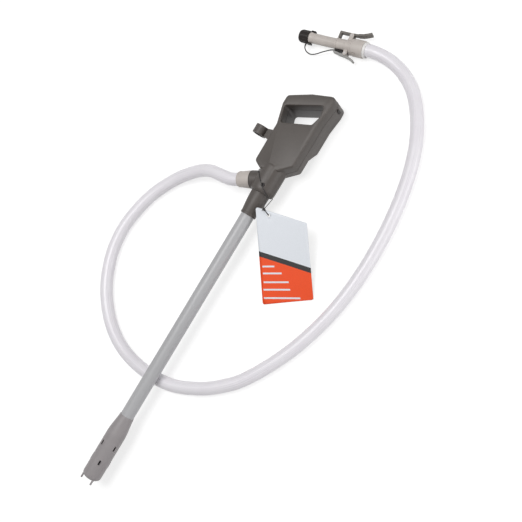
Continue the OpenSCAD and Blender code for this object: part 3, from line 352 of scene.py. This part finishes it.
def board_laminate():
    """Green board: copper tracks under the lacquer, black parts above it."""
    m, tree, shader = new_material("board_laminate")
    where = add(tree, "TexCoord").outputs["Object"]
    cells = add(tree, "TexVoronoi", {"Vector": where, "Scale": 260.0},
                feature="DISTANCE_TO_EDGE").outputs[0]
    track = remap(tree, cells, 0.06, 0.09)
    lacquer = mix(tree, track, srgb(52, 128, 74), srgb(22, 84, 44))
    height = add(tree, "SeparateXYZ", {0: where}).outputs[2]
    board_top = (AXIS_Z - BOARD_DEPTH + BOARD_T) * MM
    part = math_node(tree, "GREATER_THAN", height, board_top + 0.05 * MM)
    wire(tree, shader, mix(tree, part, lacquer, srgb(30, 30, 32)),
         from_noise(tree, noise(tree, where, 0.002), 0.24, 0.4), track, 0.2, 0.0001)
    return m


def hose_vinyl():
    """Clear vinyl: milky, lets light through, with faint drawing lines along it."""
    m, tree, shader = new_material("hose_vinyl")
    where = add(tree, "TexCoord")
    drawn = noise(tree, where.outputs["UV"], 0.02, 3.0, (1.0, 0.12, 1.0))
    haze = noise(tree, where.outputs["Object"], 0.03, 3.0)
    tint = mix(tree, from_noise(tree, haze), srgb(246, 242, 248), srgb(250, 247, 252))
    streaks = remap(tree, drawn, 0.45, 0.7, 0.0, 0.5)
    wire(tree, shader, mix(tree, streaks, tint, srgb(251, 250, 252)),
         from_noise(tree, drawn, 0.24, 0.36), drawn, 0.08, 0.0004)
    shader.inputs["IOR"].default_value = 1.46
    shader.inputs["Transmission Weight"].default_value = 0.1
    shader.inputs["Coat Weight"].default_value = 0.25
    shader.inputs["Coat Roughness"].default_value = 0.2
    return m


STRANDS, STRAND_RISE = 3, 0.0011


def braid(name, colour):
    """Twisted cord: two strand directions in the UV of its tube."""
    m, tree, shader = new_material(name)
    where = add(tree, "TexCoord").outputs["UV"]
    parts = add(tree, "SeparateXYZ", {0: where})
    turn = math_node(tree, "MULTIPLY", parts.outputs[0], 2 * math.pi * STRANDS)
    run = math_node(tree, "MULTIPLY", parts.outputs[1], 2 * math.pi / STRAND_RISE)
    left = math_node(tree, "SINE", math_node(tree, "ADD", turn, run))
    right = math_node(tree, "SINE", math_node(tree, "SUBTRACT", turn, run))
    strand = math_node(tree, "MAXIMUM", left, right)
    # The strands' crowns are painted lighter and the grooves between them darker: painted highlight
    # and painted shade over the bump
    paint = mix(tree, remap(tree, strand, -0.2, 1.0), scaled(colour, 0.5), scaled(colour, 1.6))
    wire(tree, shader, paint, remap(tree, strand, -1.0, 1.0, 0.85, 0.65), strand, 0.5, 0.0001)
    shader.inputs["Sheen Weight"].default_value = 0.3
    return m


def box_mask(tree, x, y, centre, half):
    """1 inside a box in x and y, and 0 outside it."""
    inside = []
    for value, c, h in zip((x, y), centre, half):
        gap = math_node(tree, "ABSOLUTE", math_node(tree, "SUBTRACT", value, c))
        inside.append(math_node(tree, "LESS_THAN", gap, h))
    return math_node(tree, "MULTIPLY", *inside)


# Printed lines of the tag as [left, height at the left, right], in the tag's millimetres
RULES = [(7.4, 58.1, 26.4), (6.5, 47.5, 36.7), (6.0, 34.0, 46.1), (4.4, 22.7, 47.0),
         (3.2, 9.9, 61.5)]
RULE_HALF = 1.3
RULE_SLOPE = -0.1
# The black stripe runs down to the right: its upper and lower edge at the left side
STRIPE_TOP, STRIPE_LOW, STRIPE_SLOPE = 84.0, 75.8, -0.43


def tag_print():
    """Front of the tag: pale above, a black stripe, orange below with plain white rules."""
    m, tree, shader = new_material("tag_print")
    where = add(tree, "TexCoord").outputs["Object"]
    parts = add(tree, "SeparateXYZ", {0: where})
    x = math_node(tree, "DIVIDE", parts.outputs[0], MM)
    y = math_node(tree, "DIVIDE", parts.outputs[1], MM)
    level = math_node(tree, "SUBTRACT", y, math_node(tree, "MULTIPLY", x, STRIPE_SLOPE))
    flat = math_node(tree, "SUBTRACT", y, math_node(tree, "MULTIPLY", x, RULE_SLOPE))
    lines = None
    for left, height, right in RULES:
        one = box_mask(tree, x, flat, ((left + right) / 2, height - RULE_SLOPE * left),
                       ((right - left) / 2, RULE_HALF))
        lines = one if lines is None else math_node(tree, "MAXIMUM", lines, one)
    fibre = from_noise(tree, noise(tree, where, 0.0015, 5.0))
    pale = mix(tree, fibre, scaled(CARD, 0.97), scaled(CARD, 1.02))
    ink = mix(tree, fibre, scaled(ORANGE, 0.96), scaled(ORANGE, 1.03))
    lower = mix(tree, lines, ink, pale)
    above = math_node(tree, "GREATER_THAN", level, STRIPE_LOW)
    printed = mix(tree, above, lower, srgb(18, 16, 16))
    top = math_node(tree, "GREATER_THAN", level, STRIPE_TOP)
    tree.links.new(mix(tree, top, printed, pale), shader.inputs["Base Color"])
    finish_surface(tree, shader, where, 0.42, 0.06, 0.0009, 0.0)
    return m


def card_plain():
    """Back and edges of the tag: uncoated card with fibres."""
    m, tree, shader = new_material("card_plain")
    where = add(tree, "TexCoord").outputs["Object"]
    fibre = from_noise(tree, noise(tree, where, 0.0012, 6.0, (1, 0.4, 1)))
    tree.links.new(mix(tree, fibre, srgb(222, 221, 216), srgb(240, 240, 237)),
                   shader.inputs["Base Color"])
    finish_surface(tree, shader, where, 0.7, 0.15, 0.0006, 0.0)
    return m


vinyl_mat = hose_vinyl()
string_mat = braid("string_braid", srgb(34, 31, 31))
tether_mat = plastic("tether_rubber", srgb(24, 22, 22), rough=0.5, mottle=0.15,
                     mottle_size=0.006, grain=0.2, grain_size=0.0005, round_edges=0.0)
print_mat, plain_mat = tag_print(), card_plain()

# Hose
HOSE_ROUTE = [
    (-40.2, -99.5, 32.5), (-60.3, -108.44, 32.5), (-82, -110.5, 31), (-101, -112, 28),
    (-122, -119, 22.5), (-142, -132, 17), (-165, -154, 12), (-188, -192, 10.5),
    (-201, -236, 10.5), (-204, -277, 10.5), (-195, -321, 10.5), (-170, -368, 10.5),
    (-131, -407, 10.5), (-84, -431, 10.5), (-30, -439, 10.5), (24, -433, 10.5),
    (70, -412, 10.5), (102, -388, 10.5), (130, -357, 10.5), (162, -300, 10.5),
    (183, -244, 10.5), (196, -187, 10.5), (201, -125, 10.5), (199, -61, 10.5),
    (190, 2, 10.5), (175, 56, 10.5), (153, 101, 10.5), (124, 138, 10.5),
    (93, 160, 10.5), (62, 170.5, 12), (32, 172.06, 14.1), (11.1, 168.75, 14.1)]
HOSE_R, HOSE_BORE_R, HOSE_SIDES = 10.45 * MM, 8.2 * MM, 40
# Points of a cord between two neighbours of its route
ROUTE_STEPS = 8

hose_path = smooth_path([mm(*p) for p in HOSE_ROUTE], ROUTE_STEPS)
bm = bmesh.new()
outer = tube_rings(bm, hose_path, HOSE_R, HOSE_SIDES, False)
inner = tube_rings(bm, hose_path, HOSE_BORE_R, HOSE_SIDES, False, inward=True)
for a, b in ((outer[0], inner[0]), (outer[-1], inner[-1])):
    for k in range(len(a)):
        m = (k + 1) % len(a)
        bm.faces.new([a[k], a[m], b[m], b[k]])
hose = new_piece("clear_hose", bm, "pump", [vinyl_mat], ["hose"])

# Nozzle frame, tether
NOZZLE_PLACE, NOZZLE_TURN = mm(19, 170, 14.1), math.radians(189)
nozzle_frame = Matrix.Translation(NOZZLE_PLACE) @ Matrix.Rotation(NOZZLE_TURN, 4, "Z")
TETHER_ROUTE = [
    (103, 10.6, 0), (103.5, 14, -0.5), (103, 18, -2), (99.5, 22, -5.5), (92, 23.5, -8.3),
    (83, 21, -8), (74, 17.2, -5.5), (65, 14, -3), (57, 11.6, -1), (50.3, 11, 0)]
TETHER_R = 0.9 * MM
tether_path = smooth_path([nozzle_frame @ mm(*p) for p in TETHER_ROUTE], ROUTE_STEPS)
bm = bmesh.new()


def tether_radius(share):
    """Thicker where the tether grows out of the cap and where it enters the pad."""
    return TETHER_R * (1 + 0.55 * math.exp(-(share / 0.09) ** 2)
                       + 0.35 * math.exp(-((1 - share) / 0.05) ** 2))


add_tube(bm, tether_path, tether_radius, 14)
tether = new_piece("moulded_tether", bm, None, [tether_mat], ["cap_tether"])
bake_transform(tether)

# Tag, string and knot
TAG_W, TAG_H, TAG_T = 82, 150, 0.7
TAG_SHARES = [(0, 0), (1, 0), (1.06, 0.767), (0.1, 1)]
TAG_HOLE, TAG_HOLE_R, TAG_CORNER_R = (0.335 * TAG_W, 0.895 * TAG_H), 2.6, 3.0
TAG_KNOT = (0.27 * TAG_W, 0.965 * TAG_H)
TAG_PLACE, TAG_TURN, TAG_LEAN = mm(85.8, -250.7, 0.7), math.radians(34.6), math.radians(17.4)
HOLE_SIDES, CURL_RISE, CURL_SINK = 28, 0.9, 0.5
tag_frame = (Matrix.Translation(TAG_PLACE) @ Matrix.Rotation(TAG_TURN, 4, "Z")
             @ Matrix.Rotation(TAG_LEAN, 4, "X"))


def rounded(corners, radius, steps=6):
    """Outline with its corners turned into arcs, as a list of 2-D points."""
    out = []
    n = len(corners)
    for i in range(n):
        p, q, r = (Vector(corners[j % n]) for j in (i - 1, i, i + 1))
        a, b = (p - q).normalized(), (r - q).normalized()
        half = math.acos(max(-1, min(1, a.dot(b)))) / 2
        middle = q + (a + b).normalized() * radius / math.sin(half)
        start = q + a * radius / math.tan(half) - middle
        end = q + b * radius / math.tan(half) - middle
        turn = start.angle_signed(end)
        for k in range(steps + 1):
            t = -turn * k / steps
            c, s = math.cos(t), math.sin(t)
            out.append(middle + Vector((start.x * c - start.y * s, start.x * s + start.y * c)))
    return out


def tag_curl(x):
    """The card's slight curl: its long sides lift a little from the middle."""
    return CURL_RISE * ((x / TAG_W - 0.5) * 2) ** 2 - CURL_SINK


def build_tag():
    """The card: a curled sheet with its hole, a back and a rim."""
    bm = bmesh.new()
    corners = [(x * TAG_W, y * TAG_H) for x, y in TAG_SHARES]
    loops = [rounded(corners, TAG_CORNER_R),
             [Vector(TAG_HOLE) + TAG_HOLE_R * Vector((math.cos(a), math.sin(a)))
              for a in (2 * math.pi * k / HOLE_SIDES for k in range(HOLE_SIDES))]]
    edges = []
    for loop in loops:
        ring = [bm.verts.new((p.x * MM, p.y * MM, 0)) for p in loop]
        edges += [bm.edges.new((ring[i - 1], ring[i])) for i in range(len(ring))]
    bmesh.ops.triangle_fill(bm, use_beauty=True, edges=edges)
    # Cuts in both directions, so that the sheet can curl
    for axis, count, size in ((0, 11, TAG_W * 1.1), (1, 12, TAG_H)):
        for k in range(1, count):
            place, normal = Vector((0, 0, 0)), Vector((0, 0, 0))
            place[axis], normal[axis] = size * k / count * MM, 1
            bmesh.ops.bisect_plane(bm, geom=bm.verts[:] + bm.edges[:] + bm.faces[:],
                                   plane_co=place, plane_no=normal)
    for f in bm.faces:
        if f.normal.z < 0:
            f.normal_flip()
    for v in bm.verts:
        v.co.z = (tag_curl(v.co.x / MM) + TAG_T) * MM
    top = bm.faces[:]
    rim = [e for e in bm.edges if len(e.link_faces) == 1]
    copy = bmesh.ops.duplicate(bm, geom=bm.verts[:] + bm.edges[:] + top)
    twin = copy["vert_map"]
    for v in {v for f in top for v in f.verts}:
        twin[v].co.z -= TAG_T * MM
    for f in [g for g in copy["geom"] if isinstance(g, bmesh.types.BMFace)]:
        f.normal_flip()
        f.material_index = 1
    for e in rim:
        a, b = e.verts
        bm.faces.new([a, b, twin[b], twin[a]]).material_index = 1
    for f in bm.faces:
        f.smooth = abs(f.normal.z) > 0.9
    new_piece("printed_tag", bm, "tag", [print_mat, plain_mat], ["hang_tag"], tag_frame)


build_tag()

STRING_R, KNOT_R, STRING_GAP, KNOT_GAP, KNOT_LIFT = 0.6, 1.9, 0.35, 0.3, 3.0
# The pod over the neck: its radius, and where its rounded shoulder begins and how long it is
POD_R, SHOULDER_R, NECK_Y, SHOULDER_LEN = 20.5, 16.3, 39, 8
# The string's loop: radius at the shoulder, middle and slant along the tube, and its turn
LOOP_LOW_R, LOOP_Y, LOOP_SLANT = 17.4, 54, 18
LOOP_FROM, LOOP_TURN, LOOP_STEPS = 30, 300, 22


def neck_loop_r(y):
    """Radius of the string's loop round the neck and the pod's shoulder."""
    up = (y - NECK_Y + SHOULDER_LEN / 2) / SHOULDER_LEN
    return STRING_R + STRING_GAP + min(POD_R, LOOP_LOW_R + (POD_R - LOOP_LOW_R) * up)


neck_loop = []
for k in range(LOOP_STEPS + 1):
    angle = math.radians(LOOP_FROM + LOOP_TURN * k / LOOP_STEPS)
    y = LOOP_Y - LOOP_SLANT * math.cos(angle)
    r = neck_loop_r(y)
    neck_loop.append(mm(r * math.cos(angle), y - REST_Y, AXIS_Z + r * math.sin(angle)))
knot_centre = tag_frame @ mm(*TAG_KNOT, KNOT_LIFT)


def at_knot(p, shift):
    """The point beside the knot where the string from p meets it."""
    reach = (KNOT_R + STRING_R + KNOT_GAP) * MM
    return knot_centre + (p - knot_centre).normalized() * reach + mm(0, 0, shift)


# The string's two ends meet the knot one above the other
string_points = ([at_knot(neck_loop[0], STRING_R * 1.4)] + neck_loop
                 + [at_knot(neck_loop[-1], -STRING_R * 1.4)])
string_path = smooth_path(string_points, 6)
bm = bmesh.new()
add_tube(bm, string_path, STRING_R * MM, 12)
string = new_piece("neck_string", bm, "pump", [string_mat], ["tag_string"])

# The loop through the tag's hole and a wound knot with two short tails
KNOT_SIDES, COIL_TURNS, COIL_STEPS, COIL_R, COIL_LEN, CORE_R = 10, 3, 48, 1.35, 3.4, 0.95
CORE_SPOTS = (-2.2, -1, 0, 1, 2.2)
# A tail's points: to the side, back along the pull and up from the card
TAIL_SPOTS = ((0.4, 0.6, 1.2), (1.0, 1.9, 1.5), (1.5, 3.1, 1.1), (1.7, 4.2, 0.7))
hole, head_of_knot = Vector(TAG_HOLE), Vector(TAG_KNOT)
along = (head_of_knot - hole).normalized()
run = (head_of_knot - hole).length
CARD_MID, CARD_GAP, ARC_STEPS = 0.4, 0.5, 12
loop_r = CARD_MID + STRING_R + CARD_GAP
loop_path = []
for middle, first in ((loop_r, 0.5), (run - loop_r, -0.5)):
    for k in range(ARC_STEPS + 1):
        t = math.pi * (k / ARC_STEPS + first)
        loop_path.append((middle + loop_r * math.cos(t), loop_r * math.sin(t)))
bm = bmesh.new()
add_tube(bm, [tag_frame @ mm(*(hole + along * a), CARD_MID + b) for a, b in loop_path],
         STRING_R * MM, KNOT_SIDES, closed=True)
up = tag_frame.to_3x3() @ Vector((0, 0, 1))
pull = (string_points[1] - knot_centre).normalized()
side = pull.cross(up).normalized()
lift = side.cross(pull)
coil = []
for k in range(COIL_STEPS + 1):
    a = 2 * math.pi * COIL_TURNS * k / COIL_STEPS
    coil.append(knot_centre + (side * math.cos(a) + lift * math.sin(a)) * COIL_R * MM
                + pull * (k / COIL_STEPS - 0.5) * COIL_LEN * MM)
add_tube(bm, coil, STRING_R * MM, KNOT_SIDES)
core = [knot_centre + pull * t * MM for t in CORE_SPOTS]
add_tube(bm, core, CORE_R * MM, KNOT_SIDES)
for s in (-1, 1):
    tail = [knot_centre + (side * s * x + lift * z - pull * y) * MM for x, y, z in TAIL_SPOTS]
    add_tube(bm, smooth_path(tail, 4), STRING_R * 0.9 * MM, KNOT_SIDES)
knot = new_piece("string_knot", bm, "tag", [string_mat], ["tag_knot"])

# The head's outline and window, as shares of its width and height
BODY_W, HEAD_H, PANEL_Y = 65, 150, 71
OUTLINE = [(-0.47, 0.053), (-0.23, 0), (0.215, 0.053), (0.523, 0.167), (0.523, 0.693),
           (0.577, 0.88), (0.562, 1), (-0.046, 0.923), (-0.623, 0.807), (-0.623, 0.707),
           (-0.477, 0.493)]
WINDOW = [(-0.531, 0.697), (-0.392, 0.517), (0.369, 0.633), (0.454, 0.747), (0.4, 0.863)]
OUTLINE_R, WINDOW_R, SEAM_R, SEAM_SIDES = 7.0, 4.5, 0.28, 6
# The foot: length of tube above it, radius, size of a slot, and each row of slots as its distance
# along the foot and the angle of its first slot
TUBE_RUN, FOOT_R, SLOT_LEN, SLOT_W = 362, 15.2, 8.5, 3.0
SLOT_ROWS, SLOTS_IN_ROW = ((51, -21.5), (79.6, 31)), 4
LIP_OUT, LIP_R, LIP_STEPS = 0.35, 0.42, 24


def on_head(shares):
    """Points given as shares of the head's width and height, in millimetres."""
    return [Vector((x * BODY_W, PANEL_Y + y * HEAD_H)) for x, y in shares]


def soft_loop(points, radius, steps=6):
    """The outline as part.scad rounds it: arcs where it is convex, plain points where it isn't."""
    out = []
    n = len(points)
    for i in range(n):
        p, q, r = points[i - 1], points[i], points[(i + 1) % n]
        first, second = (q - p).normalized(), (r - q).normalized()
        bend = first.x * second.y - first.y * second.x
        if bend <= 0:
            out.append(q)
            continue
        n0, n1 = Vector((first.y, -first.x)), Vector((second.y, -second.x))
        core = q - (n0 + n1) * radius / (1 + n0.dot(n1))
        start, turn = math.atan2(n0.y, n0.x), math.atan2(bend, n0.dot(n1))
        for k in range(steps + 1):
            a = start + turn * k / steps
            out.append(core + Vector((math.cos(a), math.sin(a))) * radius)
    return out


def dense(points, step=6.0):
    """Extra points on a closed outline's long sides."""
    out = []
    for a, b in zip(points, points[1:] + points[:1]):
        count = max(1, int((b - a).length / step))
        out += [a + (b - a) * k / count for k in range(count)]
    return out


def at_parting(points):
    """Points of the head's plan at the height of the parting plane."""
    return [mm(p.x, p.y - REST_Y, AXIS_Z) for p in points]


# Parting line of the two halves: a fine dark line round the head, the window and the pod, painted
# shade of the joint in a darkened copy of the head's plastic
seam_mat = plastic("seam_shadow", scaled(HEAD, 0.35), rough=0.7, mottle=0.1, mottle_size=0.01,
                   grain=0.2, grain_size=0.0006, round_edges=0.0)
bm = bmesh.new()
for shares, corner_r in ((OUTLINE, OUTLINE_R), (WINDOW, WINDOW_R)):
    ring = at_parting(dense(soft_loop(on_head(shares), corner_r)))
    add_tube(bm, ring, SEAM_R * MM, SEAM_SIDES, closed=True)
pod_side = [Vector((SHOULDER_R + (POD_R - SHOULDER_R) * math.sin(a),
                    NECK_Y + SHOULDER_LEN * (1 - math.cos(a))))
            for a in (math.radians(15 * k) for k in range(7))]
# The pod's straight side, with a point every 5 mm
pod_side += [Vector((POD_R, NECK_Y + SHOULDER_LEN + 5 * k)) for k in range(1, 8)]
for s in (1, -1):
    add_tube(bm, at_parting([Vector((s * p.x, p.y)) for p in pod_side]), SEAM_R * MM, SEAM_SIDES)
new_piece("parting_line", bm, "pump", [seam_mat])

# Raised lips round the foot's inlet slots
bm = bmesh.new()
foot_y0 = -TUBE_RUN - REST_Y
for along_foot, first in SLOT_ROWS:
    for k in range(SLOTS_IN_ROW):
        a = math.radians(first + 360 / SLOTS_IN_ROW * k)
        out_way = Vector((math.sin(a), 0, math.cos(a)))
        round_way = Vector((math.cos(a), 0, -math.sin(a)))
        lip = []
        for j in range(LIP_STEPS):
            t = 2 * math.pi * (j + 0.5) / LIP_STEPS
            across = (SLOT_W / 2 + LIP_OUT) * math.cos(t)
            reach = (SLOT_LEN - SLOT_W) / 2 * (1 if math.sin(t) > 0 else -1)
            run_y = reach + (SLOT_W / 2 + LIP_OUT) * math.sin(t)
            p = out_way * math.sqrt(FOOT_R ** 2 - across ** 2) + round_way * across
            lip.append(mm(p.x, foot_y0 - along_foot + run_y, AXIS_Z + p.z))
        add_tube(bm, lip, LIP_R * MM, 8, closed=True)
new_piece("slot_lips", bm, "pump", [foot_mat])

# Finishes of the CAD pieces
FINISHES = {
    head_mat: ["front_shell", "back_shell", "nozzle_holder"], neck_mat: ["manifold"],
    screw_mat: ["shell_screws"], rubber_mat: ["tube_seal", "motor_seal", "outlet_seal"],
    tube_mat: ["suction_tube"], foot_mat: ["foot_housing", "foot_cap"],
    wheel_mat: ["impeller"], bearing_mat: ["shaft_bearings"],
    steel_mat: ["drive_shaft", "motor_spindle", "lever_pins", "lever_springs", "motor",
                "usb_socket"],
    brass_mat: ["shaft_coupling"], tin_mat: ["battery_tabs"], cell_wrap(): ["battery_cells"],
    board_laminate(): ["control_board"], black_mat: ["port_flap", "power_button",
                                                     "tether_anchor", "nozzle_cap",
                                                     "button_switch"],
    pale_mat: ["outlet_nut", "nozzle_nut", "nozzle_body", "spout_tube"],
    white_mat: ["nozzle_ring"], dark_lever_mat: ["upper_lever"],
    light_lever_mat: ["lower_lever", "level_sensor"], vinyl_mat: ["hose"],
    tether_mat: ["cap_tether"], string_mat: ["tag_knot", "tag_string"], plain_mat: ["hang_tag"]}
for material, names in FINISHES.items():
    for name in names:
        slots = nodes[name].data.materials
        if not slots:
            slots.append(material)
        for i in range(len(slots)):
            slots[i] = material

# The two shells with their flat rims filled anew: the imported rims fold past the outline
SHARP_ANGLE = math.radians(28)


def with_clean_rim(name, node):
    """Replaces a shell by its copy, closed at the parting by faces that stay in the outline."""
    bm = bmesh.new()
    bm.from_mesh(nodes[node].data)
    bmesh.ops.remove_doubles(bm, verts=bm.verts, dist=0.001 * MM)
    at_rim = {v for v in bm.verts if abs(v.co.z - AXIS_Z * MM) < 0.01 * MM}
    flat = [f for f in bm.faces if at_rim.issuperset(f.verts)]
    bmesh.ops.delete(bm, geom=flat, context="FACES_ONLY")
    stray = [e for e in bm.edges if not e.link_faces]
    bmesh.ops.delete(bm, geom=stray, context="EDGES")
    rim = [e for e in bm.edges if len(e.link_faces) == 1]
    bmesh.ops.triangle_fill(bm, use_beauty=True, edges=rim)
    for f in bm.faces:
        f.smooth = True
    for e in bm.edges:
        e.smooth = len(e.link_faces) == 2 and e.calc_face_angle() < SHARP_ANGLE
    new_piece(name, bm, "pump", [head_mat], [node])


with_clean_rim("front_half", "front_shell")
with_clean_rim("back_half", "back_shell")

# Floor, world and lamps
FLOOR_SIZE, FLOOR_PLACE = 6, (0, -0.15, -0.0002)


def seen_directly(tree):
    """1 for rays from the camera, and for those that metal and glass mirror or let through."""
    path = add(tree, "LightPath")
    return math_node(tree, "MAXIMUM", path.outputs["Is Camera Ray"],
                     math_node(tree, "MAXIMUM", path.outputs["Is Glossy Ray"],
                               path.outputs["Is Transmission Ray"]))


def floor_material():
    """Pale studio floor: white to the camera, with the object's soft shadow."""
    m = bpy.data.materials.new("studio_floor")
    m.use_nodes = True
    tree = m.node_tree
    tree.nodes.clear()
    grain = noise(tree, add(tree, "TexCoord").outputs["Object"], 0.004)
    tone = mix(tree, from_noise(tree, grain), (0.5, 0.5, 0.5, 1), (0.52, 0.52, 0.52, 1))
    shade = add(tree, "BsdfDiffuse", {"Color": tone})
    glow = add(tree, "Emission", {"Strength": 0.68})
    both = add(tree, "AddShader", {0: shade.outputs[0], 1: glow.outputs[0]})
    plain = add(tree, "BsdfDiffuse", {"Color": (0.8, 0.8, 0.8, 1)})
    choice = add(tree, "MixShader", {0: seen_directly(tree), 1: plain.outputs[0],
                                     2: both.outputs[0]})
    out = add(tree, "OutputMaterial")
    tree.links.new(choice.outputs[0], out.inputs["Surface"])
    return m


bpy.ops.mesh.primitive_plane_add(size=FLOOR_SIZE, location=FLOOR_PLACE)
floor = bpy.context.object
floor.name = "studio_floor"
floor.data.materials.append(floor_material())

world = bpy.data.worlds.new("studio_world")
scene.world = world
world.use_nodes = True
tree = world.node_tree
tree.nodes.clear()
soft = add(tree, "Background", {"Color": (1, 1, 1, 1), "Strength": 0.31})
white = add(tree, "Background", {"Color": (1, 1, 1, 1), "Strength": 1.0})
choice = add(tree, "MixShader", {0: seen_directly(tree), 1: soft.outputs[0],
                                 2: white.outputs[0]})
tree.links.new(choice.outputs[0], add(tree, "OutputWorld").inputs["Surface"])


def lamp(name, place, target, size, power):
    """A square soft box at place that faces target."""
    data = bpy.data.lights.new(name, "AREA")
    data.shape, data.size, data.energy = "SQUARE", size, power
    obj = bpy.data.objects.new(name, data)
    scene.collection.objects.link(obj)
    obj.location = place
    obj.rotation_mode = "QUATERNION"
    obj.rotation_quaternion = (Vector(target) - Vector(place)).to_track_quat("-Z", "Y")


CENTRE = Vector((0, -0.16, 0.02))
lamp("key", CENTRE + CAM_BACK * 1.5 - CAM_RIGHT * 0.9 + cam_up * 0.6, CENTRE,
     size=1.0, power=18.5)
lamp("fill", CENTRE + CAM_BACK * 0.8 + CAM_RIGHT * 1.4 - cam_up * 0.2, CENTRE,
     size=1.2, power=14)

scene.view_settings.view_transform = "Standard"

bpy.context.view_layer.update()
